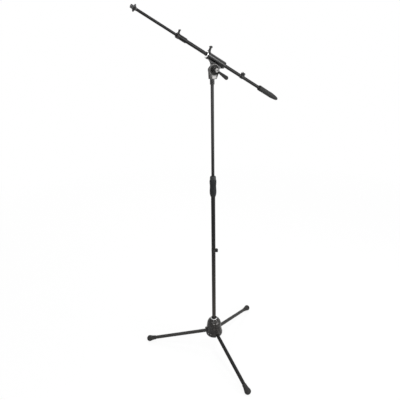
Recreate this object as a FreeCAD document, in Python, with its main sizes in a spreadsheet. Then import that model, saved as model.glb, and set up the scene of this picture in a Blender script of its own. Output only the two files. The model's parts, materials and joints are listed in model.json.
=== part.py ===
import FreeCAD, Part
import os
import re
import Sketcher
from FreeCAD import Vector

# Boom microphone stand: a tripod with a bell hub, a two-part mast with a twist clutch,
# a tilting boom holder and a two-part boom with a counterweight.
# Millimetres and degrees, +Z up, floor at z = 0, origin under the centre of the footprint.
# The boom lies in the XZ plane through the mast, its microphone end towards -X.

SIZES = {
    # where the mast stands in the footprint
    "mast_x": -15, "mast_y": 74,
    # clearances: running fit on the radius, space between pieces that move past each other
    "run_gap": 0.05, "slip_gap": 0.3,
    # how far joined forms reach into each other, plain and fine chamfers
    "lap": 1, "edge": 1, "fine_edge": 0.8,
    # legs, measured along the leg from where the three leg axes meet on the mast
    "leg_turn": 21.5, "leg_dip": 13.8, "leg_length": 415, "leg_tube_d": 20, "leg_tube_wall": 1.5,
    "foot_ball_r": 18, "foot_flat": 1, "foot_length": 55, "foot_mouth_r": 11.6,
    "pin_reach": 31, "pin_d": 6, "eye_r": 9.5, "eye_width": 12, "collar_start": 9, "collar_length": 6,
    "plug_length": 24, "foot_flare": 0.6,
    # hub casting, heights from where the leg axes meet
    "rim_r": 49.5, "rim_low": -26, "rim_mid": -18, "rim_top": -12, "waist_r": 41.5, "waist_z": 46,
    "crown_r": 20, "crown_z": 83, "hub_wall": 4, "boss_r": 17, "boss_low": -12, "recess_r": 15.5,
    "recess_depth": 5, "hood_wall": 4, "hood_end": 50, "hood_rise": 8, "slot_gap": 0.5, "lug_wall": 4,
    "lug_r": 8.5, "panel_depth": 1.5, "panel_half_w": 24, "panel_low": -8, "panel_z": 20,
    "rim_bulge": 0.4, "bell_bulge": 4.6, "crown_edge": 2, "lug_drop": 4, "lug_rise": 9,
    "ring_height": 4, "ring_r": 19.5, "ring_edge": 2, "ring_bulge": 0.6,
    "cuff_r": 17.2, "cuff_top_r": 12.4, "cuff_height": 7,
    "screw_r": 4, "screw_head_r": 6.5, "screw_head": 6, "screw_length": 36, "washer_r": 9, "washer_t": 1.6,
    # mast tubes
    "tube_seat": 2, "lower_tube_d": 22, "lower_tube_wall": 1.5, "lower_tube_length": 923,
    "upper_tube_d": 16, "upper_tube_wall": 1.25, "upper_tube_length": 684, "mast_extension": 503,
    "foot_plug": 26, "guide_length": 20, "guide_lip": 3,
    # height clutch, heights from the top of the lower tube
    "sleeve_low": 62, "sleeve_mouth_r": 11.9, "sleeve_r": 15.2, "sleeve_rise": 11, "spigot_wall": 3.5,
    "spigot_top": 1, "grip_end_r": 15.6, "grip_r": 17.7, "grip_waist_r": 16.5, "grip_bulge_r": 18,
    "grip_top": 32, "grip_flutes": 18, "flute_r": 1.6, "collet_length": 24, "collet_wall": 3.4,
    "collet_seat": 0.2, "slit_w": 1.6, "cap_height": 17, "cap_r": 15.9, "cap_neck_r": 14.6,
    "cap_neck": 2.5, "cap_taper": 0.5, "cap_slope": 5, "cap_shoulder": 4,
    "sleeve_edge": 2, "sleeve_bulge": 0.5, "grip_end_bulge": 0.7, "grip_low_bulge": 0.15,
    "grip_mid_bulge": 0.2, "grip_top_bulge": 0.45, "cap_bulge": 0.9,
    # top of the mast
    "stud_r": 4.7, "stud_top": 37, "stud_plug": 25, "nut_r": 11, "nut_height": 26, "nut_flutes": 8,
    "nut_flute_r": 2.2, "nut_bevel": 2.5,
    # tilt bracket: pivot above the upper tube's end, disc, fork and base
    "pivot_x": 2.5, "pivot_height": 66, "base_half_x": 13.5, "base_height": 14, "fork_half": 7,
    "cheek_t": 8, "disc_r": 29, "disc_rim": 6, "disc_recess": 3, "rear_cheek_r": 17, "drum_r": 11.5,
    "drum_length": 7, "bolt_r": 4, "bolt_head_r": 7, "bolt_head": 5, "fibre_t": 1.5, "fibre_r": 19,
    # tilt handle
    "hub_r": 10.5, "hub_length": 18.5, "lever_length": 76, "lever_end_r": 9, "lever_root_r": 4.2,
    "lever_t": 8, "lever_start": 13, "lever_step": 4, "stub_reach": 3, "bolt_end": 2.5,
    "hub_edge": 3, "hub_edge_bulge": 0.8, "lever_drop": 5,
    # boom holder: along the boom from the foot of the pivot, across from the pivot
    "boom_rise": 28.1, "boom_offset": 46.4, "holder_r": 15.8, "holder_front": 59, "holder_back": 50,
    "flange_r": 18, "flange_t": 10, "lug_disc_r": 21, "bush_wall": 1.5, "holder_ring_t": 2,
    "holder_ring_r": 17.2, "nose_length": 7.5, "nose_r": 9.6, "neck_front": 44, "neck_back": 45,
    "neck_bulge": 4.2, "pinch_back": 42, "pinch_drop": 12.5, "pinch_r": 6.5, "pinch_half": 11,
    "pinch_screw_r": 2.5, "pinch_head_r": 4.5, "pinch_head": 3, "split_w": 2, "split_length": 27,
    "knob_seat": 54, "knob_boss_r": 4.8, "knob_boss": 5.5, "knob_shank_r": 3, "knob_height": 21,
    "knob_bar": 9, "knob_bar_r": 4.6, "tip_gap": 0.4, "stem_flare": 1.6, "stem_top_flare": 0.8,
    "flange_step": 3, "boss_sink": 3, "ring_face_bulge": 0.5, "nose_edge": 1,
    # boom tubes
    "boom_tube_d": 16, "boom_tube_wall": 1.25, "boom_front": 212, "boom_back": 350,
    "rod_d": 12, "rod_wall": 1, "rod_back": 100, "rod_front": 446, "rod_guide": 18,
    # clamp at the end of the outer boom tube
    "clamp_back": 181.6, "clamp_front": 234.6, "clamp_r": 10.8, "clamp_collar": 12.6, "clamp_collar_r": 12,
    "clamp_bush_wall": 0.95, "clamp_knob_seat": 228, "clamp_boss_r": 5, "clamp_boss": 2.5,
    "clamp_knob_height": 12.9, "clamp_shank_r": 2.5, "clamp_bar": 8, "clamp_bar_r": 3.6,
    "clamp_boss_sink": 2.5,
    # microphone thread and its lock nut
    "thread_r": 7.94, "thread_neck_r": 7.7, "thread_tip": 460.6, "thread_length": 12.6,
    "thread_back": 436, "mic_nut_back": 441.6, "mic_nut_t": 6,
    "mic_nut_r": 12, "mic_wing_reach": 14.8, "mic_wing_t": 5,
    # counterweight
    "weight_front": 296.4, "weight_back": 442.4, "weight_mouth_r": 12.2, "weight_shoulder_r": 13.75,
    "weight_waist_r": 13, "weight_belly_r": 13.4, "weight_shoulder": 8, "weight_waist": 55,
    "weight_belly": 96, "weight_tip_r": 3, "slug_r": 10.4, "slug_length": 66,
    "weight_tip_bulge": 3.4, "weight_side_dip": 0.1, "weight_shoulder_bulge": 0.6,
    # cable clips: wall, width, cable loop, place
    "clip_wall": 2.2, "clip_width": 18, "loop_r": 4.4, "clip_web": 0.6, "clip_mouth": 5.5,
    "mast_clip_z": 543.5, "mast_clip_turn": -32, "boom_clip_at": 172,
}

# Heights and radii that follow from the sizes
HUB_Z = "(foot_ball_r - foot_flat + leg_length * sin(leg_dip))"
TUBE_TOP = "(tube_seat + lower_tube_length)"
UPPER_TOP = "(tube_seat + lower_tube_length + mast_extension)"
LEG_R = "leg_tube_d / 2"
LOWER_R = "lower_tube_d / 2"
UPPER_R = "upper_tube_d / 2"
BOOM_R = "boom_tube_d / 2"
ROD_R = "rod_d / 2"
LEG_COUNT = 3
WORD = re.compile(r"\b([a-z]\w*)\b(?!\()")

doc = FreeCAD.newDocument("boom_stand")
sheet = doc.addObject("Spreadsheet::Sheet", "Dim")
for row, (alias, number) in enumerate(SIZES.items(), start=1):
    sheet.set(f"A{row}", alias)
    sheet.set(f"B{row}", str(number))
    sheet.setAlias(f"B{row}", alias)
doc.recompute()

nodes = []


def bind(text):
    """The expression that reads each named size in text from the sheet."""
    return WORD.sub(r"Dim.\1", str(text))


def number(text):
    """The present value of an expression in the named sizes."""
    result = sheet.evalExpression(bind(text))
    return float(getattr(result, "Value", result))


def seat(obj, x=0, y=0, z=0, yaw=0, pitch=0, roll=0):
    """Binds an object's Placement to a position and three angles."""
    spot = "; ".join(bind(part) for part in (x, y, z))
    turn = "; ".join(bind(part) for part in (yaw, pitch, roll))
    obj.setExpression("Placement", f"placement(vector({spot}); rotation({turn}))")
    return obj


def node(obj, label, **spot):
    """Names a finished piece and seats it in the stand."""
    obj.Label = label
    seat(obj, **spot)
    nodes.append(obj)
    return obj


def on_mast(height="0", turn="0"):
    """A seat on the mast axis, at a height above where the leg axes meet."""
    return {"x": "mast_x", "y": "mast_y", "z": f"{HUB_Z} + {height}", "yaw": turn}


def on_leg(turn):
    """A seat whose Z runs out along a leg from the mast axis and whose X points down."""
    return {"x": "mast_x", "y": "mast_y", "z": HUB_Z, "yaw": turn, "pitch": "90 + leg_dip"}


def at_pivot():
    """A seat on the tilt pivot, level with the world."""
    return {"x": "mast_x + pivot_x", "y": "mast_y", "z": f"{HUB_Z} + {UPPER_TOP} + pivot_height"}


def on_boom(across="0", along="0", tilt="-90"):
    """A seat in the boom's frame, across and along the boom from the pivot. Without a tilt of its
    own its Z runs along the boom and its X points up across it."""
    spot = at_pivot()
    spot["x"] += f" + ({across}) * sin(boom_rise) - ({along}) * cos(boom_rise)"
    spot["z"] += f" + ({across}) * cos(boom_rise) + ({along}) * sin(boom_rise)"
    spot["pitch"] = f"boom_rise + {tilt}"
    return spot


def new_sketch(body, lift=None):
    """A sketch on the body's own XZ plane, lifted along the plane's normal."""
    sketch = body.newObject("Sketcher::SketchObject", "Sketch")
    origin_plane = [f for f in body.Origin.OriginFeatures if f.Role == "XZ_Plane"][0]
    sketch.AttachmentSupport = [(origin_plane, "")]
    sketch.MapMode = "FlatFace"
    if lift is not None:
        sketch.setExpression("AttachmentOffset.Base.z", bind(lift))
    return sketch


def arc_radius(start, end, bulge):
    """The radius of the arc between two points that bows out by bulge."""
    chord = f"(({end[0]}) - ({start[0]}))^2 + (({end[1]}) - ({start[1]}))^2"
    return f"({chord}) / (8 * ({bulge})) + ({bulge}) / 2"


def draw_outline(sketch, points):
    """A closed outline. A point is (x, y), or (x, y, bulge) where an arc leads on from it:
    a bulge above 0 bows out of an outline drawn counter-clockwise, one below 0 bows in."""
    count = len(points)
    places = [Vector(number(p[0]), number(p[1]), 0) for p in points]
    ends = []
    for i, point in enumerate(points):
        start, end = places[i], places[(i + 1) % count]
        if len(point) == 2:
            edge = sketch.addGeometry(Part.LineSegment(start, end), False)
            ends.append((edge, 1, 2))
            continue
        outward = not point[2].startswith("-")
        bulge = point[2].lstrip("-")
        radius_text = arc_radius(point, points[(i + 1) % count], bulge)
        radius = number(radius_text)
        chord = end.sub(start)
        across = Vector(-chord.y, chord.x, 0).normalize()
        back = radius - number(bulge)
        middle = (start + end) * 0.5
        centre = middle + across * (back if outward else -back)
        circle = Part.Circle(centre, Vector(0, 0, 1), radius)
        first, last = (start, end) if outward else (end, start)
        arc = Part.ArcOfCircle(circle, circle.parameter(first), circle.parameter(last))
        edge = sketch.addGeometry(arc, False)
        ends.append((edge, 1, 2) if outward else (edge, 2, 1))
        held = sketch.addConstraint(Sketcher.Constraint("Radius", edge, radius))
        sketch.setExpression(f"Constraints[{held}]", bind(radius_text))
    for i, point in enumerate(points):
        edge, start, end = ends[i]
        following = ends[(i + 1) % count]
        sketch.addConstraint(Sketcher.Constraint("Coincident", edge, end, following[0], following[1]))
        for kind, text in (("DistanceX", point[0]), ("DistanceY", point[1])):
            rule = Sketcher.Constraint(kind, -1, 1, edge, start, number(text))
            held = sketch.addConstraint(rule)
            sketch.setExpression(f"Constraints[{held}]", bind(text))


def turned(points):
    """A body turned about its Z axis from an outline of (radius, height) points."""
    body = doc.addObject("PartDesign::Body", "Turned")
    sketch = new_sketch(body)
    draw_outline(sketch, points)
    turn = body.newObject("PartDesign::Revolution", "Revolution")
    turn.Profile = sketch
    turn.ReferenceAxis = (sketch, ["V_Axis"])
    turn.Angle = 360
    return body


def sleeve(inner, outer, low, high):
    """A plain tube about Z."""
    return turned([(inner, low), (outer, low), (outer, high), (inner, high)])


def rod(radius, low, high):
    """A plain round bar about Z."""
    return turned([("0", low), (radius, low), (radius, high), ("0", high)])


def plate(points, near, far):
    """A flat body cut to an outline of (x, z) points, between two places along Y."""
    body = doc.addObject("PartDesign::Body", "Plate")
    sketch = new_sketch(body, lift=f"-({far})")
    draw_outline(sketch, points)
    pad = body.newObject("PartDesign::Pad", "Pad")
    pad.Profile = sketch
    pad.setExpression("Length", bind(f"({far}) - ({near})"))
    return body


def fluted(piece, reach, radius, low, high, copies):
    """A piece with a row of round flutes cut around its Z axis, from one height to another."""
    count = int(number(copies))
    cutters = [
        cylinder(radius, f"({high}) - ({low})", z=low,
                 x=f"({reach}) * cos({k} * 360 / {copies})",
                 y=f"({reach}) * sin({k} * 360 / {copies})")
        for k in range(count)
    ]
    return trimmed(piece, joined(*cutters))


def cylinder(radius, height, **spot):
    """A round bar from its seat along its own Z."""
    bar = doc.addObject("Part::Cylinder", "Cylinder")
    bar.setExpression("Radius", bind(radius))
    bar.setExpression("Height", bind(height))
    return seat(bar, **spot)


def block(x_size, y_size, z_size, **spot):
    """A box from its seat's corner."""
    box = doc.addObject("Part::Box", "Box")
    for side, size in (("Length", x_size), ("Width", y_size), ("Height", z_size)):
        box.setExpression(side, bind(size))
    return seat(box, **spot)


def joined(*pieces):
    """Pieces fused into one solid."""
    fuse = doc.addObject("Part::MultiFuse", "Fusion")
    fuse.Shapes = list(pieces)
    fuse.Refine = True
    return fuse


def trimmed(base, *tools):
    """A piece with other shapes cut out of it."""
    result = base
    for tool in tools:
        cut = doc.addObject("Part::Cut", "Cut")
        cut.Base = result
        cut.Tool = tool
        cut.Refine = True
        result = cut
    return result


def shared(first, second):
    """The space that two shapes have in common."""
    common = doc.addObject("Part::Common", "Common")
    common.Base = first
    common.Tool = second
    return common


def cross_bar(radius, near, far, x="0", z="0"):
    """A round bar along Y between two places, at (x, z)."""
    return cylinder(radius, f"({far}) - ({near})", x=x, y=far, z=z, roll="90")


def riser(radius, low, high, z):
    """A round bar along X between two heights, at a place along Z."""
    return cylinder(radius, f"({high}) - ({low})", x=low, z=z, pitch="90")


def leg_angle(k):
    """The direction of leg k about the mast."""
    return f"leg_turn + {k} * {360 / LEG_COUNT:g}"


def hub_outline():
    """Half section of the bell: wall, crown, tube socket and the floor that the tube stands on."""
    socket_r = f"{LOWER_R} + run_gap"
    return [
        ("screw_r + run_gap", "boss_low"),
        ("boss_r", "boss_low"),
        ("boss_r", "crown_z - 2.5 * hub_wall"),
        ("crown_r", "crown_z - 2.5 * hub_wall", "-hub_wall"),
        ("waist_r - hub_wall", "waist_z"),
        ("rim_r - hub_wall", "rim_top"),
        ("rim_r - 1.7 * hub_wall", "rim_low"),
        ("rim_r - 0.7 * hub_wall", "rim_low", "hub_wall / 5"),
        ("rim_r", "rim_mid"),
        ("rim_r", "rim_top", "rim_bulge"),
        ("waist_r", "waist_z", "bell_bulge"),
        ("crown_r + crown_edge", "crown_z - crown_edge"),
        ("crown_r", "crown_z"),
        ("recess_r", "crown_z"),
        ("recess_r", "crown_z - recess_depth"),
        (socket_r, "crown_z - recess_depth"),
        (socket_r, "tube_seat"),
        ("screw_r + run_gap", "tube_seat"),
    ]


def leg_hood(k):
    """The arched hood that a leg leaves the bell through."""
    outer = f"({LEG_R} + slot_gap + hood_wall)"
    length = "hood_end - pin_reach"
    arch = cylinder(outer, length, x="-hood_rise", z="pin_reach")
    skirt = block("2 * rim_r", f"2 * {outer}", length, x="-hood_rise", y=f"-{outer}", z="pin_reach")
    return seat(joined(arch, skirt), **on_leg_in_hub(k))


def on_leg_in_hub(k):
    """Leg k's direction, seen from the hub's own frame."""
    return {"yaw": leg_angle(k), "pitch": "90 + leg_dip"}


def leg_slot(k):
    """The way out of the bell for a leg, open downwards so that the leg can fold."""
    half = f"({LEG_R} + slot_gap)"
    start = "pin_reach - eye_r - slot_gap"
    length = "2 * rim_r"
    arch = cylinder(half, length, z=start)
    drop = block("2 * rim_r", f"2 * {half}", length, y=f"-{half}", z=start)
    return seat(joined(arch, drop), **on_leg_in_hub(k))


def leg_lugs(k):
    """The two lugs that hold a leg's hinge pin, hanging from the bell beside the boss."""
    pin_r, pin_z = "pin_reach * cos(leg_dip)", "-pin_reach * sin(leg_dip)"
    outline = [
        ("boss_r - lap", f"{pin_z} - lug_r"),
        (pin_r, f"{pin_z} - lug_r", "lug_r * (1 - cos(45))"),
        (f"{pin_r} + lug_r", pin_z),
        (f"{pin_r} + lug_r", "waist_z - lug_drop"),
        ("boss_r - lap", "waist_z + lug_rise"),
    ]
    inner = "(eye_width / 2 + slip_gap)"
    lugs = [
        plate(outline, inner, f"{inner} + lug_wall"),
        plate(outline, f"-{inner} - lug_wall", f"-{inner}"),
    ]
    return seat(joined(*lugs), yaw=leg_angle(k))


def panel_recess(k):
    """An arched panel sunk into the bell between two hoods."""
    outer = turned([
        ("rim_r - panel_depth", "rim_top"),
        ("rim_r + hub_wall", "rim_top"),
        ("rim_r + hub_wall", "waist_z"),
        ("waist_r - panel_depth", "waist_z"),
    ])
    arch = cylinder("panel_half_w", "2 * rim_r", z="panel_z", pitch="90")
    foot = block("2 * rim_r", "2 * panel_half_w", "panel_z - panel_low", y="-panel_half_w", z="panel_low")
    window = seat(joined(arch, foot), yaw=f"{leg_angle(k)} + {180 / LEG_COUNT:g}")
    return shared(outer, window)


def make_hub():
    """Bell casting with its ring and cuff, and the screw that pulls the mast into it."""
    bell = turned(hub_outline())
    legs = range(LEG_COUNT)
    hoods = [leg_hood(k) for k in legs]
    skirt_trim = block("4 * rim_r", "4 * rim_r", "2 * rim_r", x="-2 * rim_r", y="-2 * rim_r",
                       z="rim_low - 2 * rim_r")
    heart = rod("waist_r - hub_wall", "rim_low", "crown_z - 2.5 * hub_wall")
    outer_hoods = trimmed(joined(*hoods), skirt_trim, heart)
    shell = joined(bell, outer_hoods)
    slots = [leg_slot(k) for k in legs]
    panels = [panel_recess(k) for k in legs]
    lugs = [leg_lugs(k) for k in legs]
    holes = [hinge_bar(k, "(eye_width + lug_wall)") for k in legs]
    casting = trimmed(shell, *slots, *panels)
    casting = trimmed(joined(casting, *lugs), *holes)
    node(casting, "hub_casting", **on_mast())

    pins = doc.addObject("Part::Compound", "Compound")
    pins.Links = [hinge_bar(k, "(eye_width / 2 + slip_gap + lug_wall)") for k in legs]
    node(pins, "leg_hinge_pins", **on_mast())

    top = "crown_z + ring_height"
    ring = turned([
        ("recess_r", "crown_z"),
        ("ring_r", "crown_z"),
        ("ring_r", f"{top} - ring_edge", "ring_bulge"),
        ("ring_r - ring_edge", top),
        ("recess_r", top),
    ])
    node(ring, "hub_chrome_ring", **on_mast())
    cuff = turned([
        (f"{LOWER_R} + run_gap", top),
        ("cuff_r", top),
        ("cuff_top_r", f"{top} + cuff_height"),
        (f"{LOWER_R} + run_gap", f"{top} + cuff_height"),
    ])
    node(cuff, "mast_cuff", **on_mast())

    head_top = "boss_low - washer_t"
    screw = joined(
        rod("screw_r - run_gap", head_top, "boss_low + screw_length"),
        turned([
            ("0", f"{head_top} - screw_head"),
            ("screw_head_r - fine_edge", f"{head_top} - screw_head"),
            ("screw_head_r", f"{head_top} - screw_head + fine_edge"),
            ("screw_head_r", head_top),
            ("0", head_top),
        ]),
    )
    node(screw, "mast_screw", **on_mast())
    node(sleeve("screw_r + run_gap", "washer_r", head_top, "boss_low"), "mast_screw_washer", **on_mast())


def hinge_bar(k, half):
    """A bar of a given half length, level across leg k's hinge, in the hub's frame."""
    turn = leg_angle(k)
    reach = "pin_reach * cos(leg_dip)"
    x = f"{reach} * cos({turn}) - {half} * sin({turn})"
    y = f"{reach} * sin({turn}) + {half} * cos({turn})"
    return cylinder("pin_d / 2", f"2 * {half}", x=x, y=y, z="-pin_reach * sin(leg_dip)",
                    yaw=turn, roll="90")


def make_leg(k):
    """One leg: hinge knuckle, tube and rubber foot."""
    spot = on_leg(leg_angle(k))
    bore_r = f"{LEG_R} - leg_tube_wall"
    collar_low = "pin_reach + collar_start"
    tube_low = "pin_reach + collar_start + collar_length"
    knuckle = joined(
        cross_bar("eye_r", "-eye_width / 2", "eye_width / 2", z="pin_reach"),
        block("1.6 * eye_r", "eye_width", "collar_start + lap", x="-0.8 * eye_r", y="-eye_width / 2",
              z="pin_reach"),
        rod(LEG_R, collar_low, tube_low),
        rod(f"{bore_r} - run_gap", collar_low, f"{tube_low} + plug_length"),
    )
    knuckle = trimmed(knuckle, cross_bar("pin_d / 2 + run_gap", "-eye_width", "eye_width", z="pin_reach"))
    node(knuckle, f"leg_knuckle_{k + 1}", **spot)
    tube_end = "leg_length - foot_flat"
    node(sleeve(bore_r, LEG_R, tube_low, tube_end), f"leg_tube_{k + 1}", **spot)

    mouth = "leg_length + foot_ball_r - foot_length"
    quarter = "foot_ball_r * (1 - cos(45))"
    foot = turned([
        (LEG_R, mouth),
        ("foot_mouth_r", mouth, "-foot_flare"),
        ("0.92 * foot_ball_r", "leg_length - 0.39 * foot_ball_r", "0.1 * foot_ball_r"),
        ("foot_ball_r", "leg_length", quarter),
        ("0", "leg_length + foot_ball_r"),
        ("0", tube_end),
        (LEG_R, tube_end),
    ])
    height = "(foot_ball_r - foot_flat)"
    floor_cut = block("foot_length", "4 * foot_ball_r", "4 * foot_ball_r",
                      x=f"{height} * cos(leg_dip) + 2 * foot_ball_r * sin(leg_dip)",
                      y="-2 * foot_ball_r",
                      z=f"leg_length + {height} * sin(leg_dip) - 2 * foot_ball_r * cos(leg_dip)",
                      pitch="-leg_dip")
    node(trimmed(foot, floor_cut), f"foot_cap_{k + 1}", **spot)


def make_lower_mast():
    """Lower tube and the threaded plug in its foot."""
    bore_r = f"{LOWER_R} - lower_tube_wall"
    node(sleeve(bore_r, LOWER_R, "tube_seat", TUBE_TOP), "lower_mast_tube", **on_mast())
    plug = sleeve("screw_r", f"{bore_r} - run_gap", "tube_seat", "tube_seat + foot_plug")
    node(plug, "mast_foot_plug", **on_mast())


def make_clutch():
    """Height clutch: fixed sleeve, nylon collet, twist grip and its cap."""
    spot = on_mast(TUBE_TOP)
    step = "(sleeve_rise - sleeve_low)"
    spigot_r = f"({LOWER_R} + spigot_wall)"
    fixed = turned([
        (LOWER_R, "-sleeve_low"),
        ("sleeve_mouth_r", "-sleeve_low", "sleeve_bulge"),
        ("sleeve_r", f"{step} - sleeve_edge"),
        ("sleeve_r", step),
        (spigot_r, step),
        (spigot_r, "-spigot_top"),
        (LOWER_R, "-spigot_top"),
    ])
    node(fixed, "clutch_sleeve", **spot)

    collet_r = f"({UPPER_R} + run_gap + collet_wall)"
    collet = sleeve(f"{UPPER_R} + run_gap", collet_r, "collet_seat", "collet_seat + collet_length")
    slit = block("2 * collet_wall + run_gap", "slit_w", "2 * collet_length", x=f"{UPPER_R} - lap",
                 y="-slit_w / 2", z="-collet_length / 2")
    node(trimmed(collet, slit), "clutch_collet", **spot)

    low = f"{step} + slip_gap"
    thread_r = f"{spigot_r} + 2 * run_gap"
    upper_r = f"({collet_r} + slip_gap)"
    grip = turned([
        (thread_r, low),
        ("grip_end_r", low, "grip_end_bulge"),
        ("grip_r", "-0.42 * sleeve_low", "-grip_low_bulge"),
        ("grip_waist_r", "-0.08 * sleeve_low", "-grip_mid_bulge"),
        ("grip_bulge_r", "0.66 * grip_top", "grip_top_bulge"),
        ("0.92 * grip_bulge_r", "grip_top"),
        (upper_r, "grip_top"),
        (upper_r, "slip_gap"),
        (thread_r, "-spigot_top + slip_gap"),
    ])
    grip = fluted(grip, "grip_waist_r + 0.75 * flute_r", "flute_r", "-0.72 * sleeve_low", "0.9 * grip_top",
                  "grip_flutes")
    node(grip, "clutch_grip", **spot)

    hole_r = f"{UPPER_R} + slip_gap"
    neck_top = "grip_top + cap_neck"
    cap_top = "grip_top + cap_neck + cap_height"
    cap = turned([
        (hole_r, "collet_seat + collet_length + slip_gap"),
        (f"{upper_r} - run_gap", "collet_seat + collet_length + slip_gap"),
        (f"{upper_r} - run_gap", "grip_top"),
        ("cap_neck_r", "grip_top"),
        ("cap_neck_r", neck_top),
        ("cap_r", neck_top),
        ("cap_r - cap_taper", f"{cap_top} - cap_slope", "cap_bulge"),
        ("cap_r - cap_shoulder", cap_top),
        (hole_r, cap_top),
    ])
    node(cap, "clutch_cap", **spot)


def make_upper_mast():
    """Upper tube with its guide, threaded stud and fluted lock nut."""
    spot = on_mast(UPPER_TOP)
    bore_r = f"{UPPER_R} - upper_tube_wall"
    node(sleeve(bore_r, UPPER_R, "-upper_tube_length", "0"), "upper_mast_tube", **spot)
    guide_r = f"{LOWER_R} - lower_tube_wall - run_gap"
    guide = turned([
        (UPPER_R, "guide_length - upper_tube_length"),
        (UPPER_R, "-upper_tube_length"),
        (bore_r, "-upper_tube_length"),
        (bore_r, "-upper_tube_length - guide_lip"),
        (guide_r, "-upper_tube_length - guide_lip"),
        (guide_r, "guide_length - upper_tube_length"),
    ])
    node(guide, "upper_mast_guide", **spot)
    stud = joined(
        rod(f"{bore_r} - run_gap", "-stud_plug", "0"),
        turned([
            ("0", "-lap"),
            ("stud_r", "-lap"),
            ("stud_r", "stud_top - edge"),
            ("stud_r - edge", "stud_top"),
            ("0", "stud_top"),
        ]),
    )
    node(stud, "mast_top_stud", **spot)

    top = "(nut_height - run_gap)"
    nut = turned([
        ("stud_r + run_gap", "run_gap"),
        ("nut_r - nut_bevel", "run_gap"),
        ("nut_r", "nut_bevel"),
        ("nut_r", f"{top} - edge"),
        ("nut_r - edge", top),
        ("stud_r + run_gap", top),
    ])
    nut = fluted(nut, "nut_r + 0.45 * nut_flute_r", "nut_flute_r", "nut_bevel + edge", "nut_height + edge",
                 "nut_flutes")
    node(nut, "fluted_lock_nut", **spot)


def make_bracket():
    """Tilt bracket: a fork on a block, its front cheek a dished disc with a drum."""
    low = "(nut_height - pivot_height)"
    deep = "(fork_half + cheek_t)"
    base = block("2 * base_half_x", f"2 * {deep}", "base_height", x="-base_half_x", y=f"-{deep}", z=low)
    lean = "0.94 * disc_r"

    def web(half, radius, height):
        return [
            ("-base_half_x", low),
            ("base_half_x", low),
            (half, height),
            (f"0.3 * {radius}", f"0.9 * {radius}"),
            (f"-0.3 * {radius}", f"0.9 * {radius}"),
            (f"-{half}", height),
        ]

    front = joined(
        plate(web(lean, "disc_r", "-0.34 * disc_r"), f"-{deep}", "-fork_half"),
        cross_bar("disc_r", f"-{deep}", "-fork_half"),
        cross_bar("drum_r", f"-{deep} - drum_length + disc_recess", "-fork_half"),
    )
    dish = trimmed(
        cross_bar("disc_r - disc_rim", f"-{deep} - lap", f"-{deep} + disc_recess"),
        cross_bar("drum_r", f"-{deep} - 2 * lap", f"-{deep} + disc_recess + lap"),
    )
    rear = joined(
        plate(web("0.9 * rear_cheek_r", "rear_cheek_r", "-0.3 * rear_cheek_r"), "fork_half", deep),
        cross_bar("rear_cheek_r", "fork_half", deep),
    )
    stud_hole = cylinder("stud_r + run_gap", "stud_top - nut_height + lap", x="-pivot_x", z=low)
    bolt_hole = cross_bar("bolt_r", "-2 * disc_r", "2 * disc_r")
    bracket = trimmed(joined(trimmed(front, dish), rear, base), stud_hole, bolt_hole)
    node(bracket, "tilt_bracket", **at_pivot())

    bolt_low = f"-{deep} - drum_length + disc_recess - hub_length + bolt_end"
    bolt = joined(
        cross_bar("bolt_r", bolt_low, deep),
        prism("bolt_head_r", "bolt_head", f"{deep} + bolt_head"),
    )
    node(bolt, "tilt_bolt", **at_pivot())

    discs = doc.addObject("Part::Compound", "Compound")
    discs.Links = [
        trimmed(cross_bar("fibre_r", near, far), cross_bar("bolt_r + run_gap", "-disc_r", "disc_r"))
        for near, far in (("-fork_half", "fibre_t - fork_half"), ("fork_half - fibre_t", "fork_half"))
    ]
    node(discs, "friction_discs", **at_pivot())


def prism(radius, height, far):
    """A hexagonal bar along Y that ends at far."""
    bar = doc.addObject("Part::Prism", "Prism")
    bar.Polygon = 6
    bar.setExpression("Circumradius", bind(radius))
    bar.setExpression("Height", bind(height))
    return seat(bar, y=far, roll="90")


def make_handle():
    """Tilt handle: a metal hub on the bolt and a moulded paddle lever."""
    far = "(disc_recess - fork_half - cheek_t - drum_length - slip_gap)"
    near = f"({far} - hub_length)"
    hub = turned([
        ("bolt_r + run_gap", "slip_gap"),
        ("hub_r", "slip_gap"),
        ("hub_r", "hub_length - hub_edge", "hub_edge_bulge"),
        ("hub_r - hub_edge", "hub_length"),
        ("bolt_r + run_gap", "hub_length"),
    ])
    seat(hub, y=f"{far} + slip_gap", roll="90")
    stub = block("lever_start + stub_reach", "0.6 * lever_t", "1.3 * lever_root_r",
                 y=f"{near} + lever_step", z="-0.65 * lever_root_r")
    arm = trimmed(joined(hub, stub), cross_bar("bolt_r + run_gap", "-4 * hub_length", "0"))
    node(arm, "tilt_handle_hub", **{**at_pivot(), "pitch": "boom_rise + lever_drop"})

    reach = "(lever_length - 0.9 * lever_end_r)"
    outline = [
        ("lever_start - lap", "-lever_root_r"),
        (reach, "-lever_end_r", "0.9 * lever_end_r"),
        (reach, "lever_end_r"),
        ("lever_start - lap", "lever_root_r"),
    ]
    lift = f"({near} + lever_step - 0.2 * lever_t)"
    paddle = plate(outline, lift, f"{lift} + lever_t")
    socket = block("lap + stub_reach + run_gap", "0.6 * lever_t + 2 * run_gap",
                   "1.3 * lever_root_r + 2 * run_gap", x="lever_start - lap",
                   y=f"{near} + lever_step - run_gap", z="-0.65 * lever_root_r - run_gap")
    node(trimmed(paddle, socket), "tilt_handle_lever", **{**at_pivot(), "pitch": "boom_rise + lever_drop"})


def along(piece):
    """A piece moved from the pivot onto the boom's axis, in the boom's frame."""
    return seat(piece, x="boom_offset")


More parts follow.
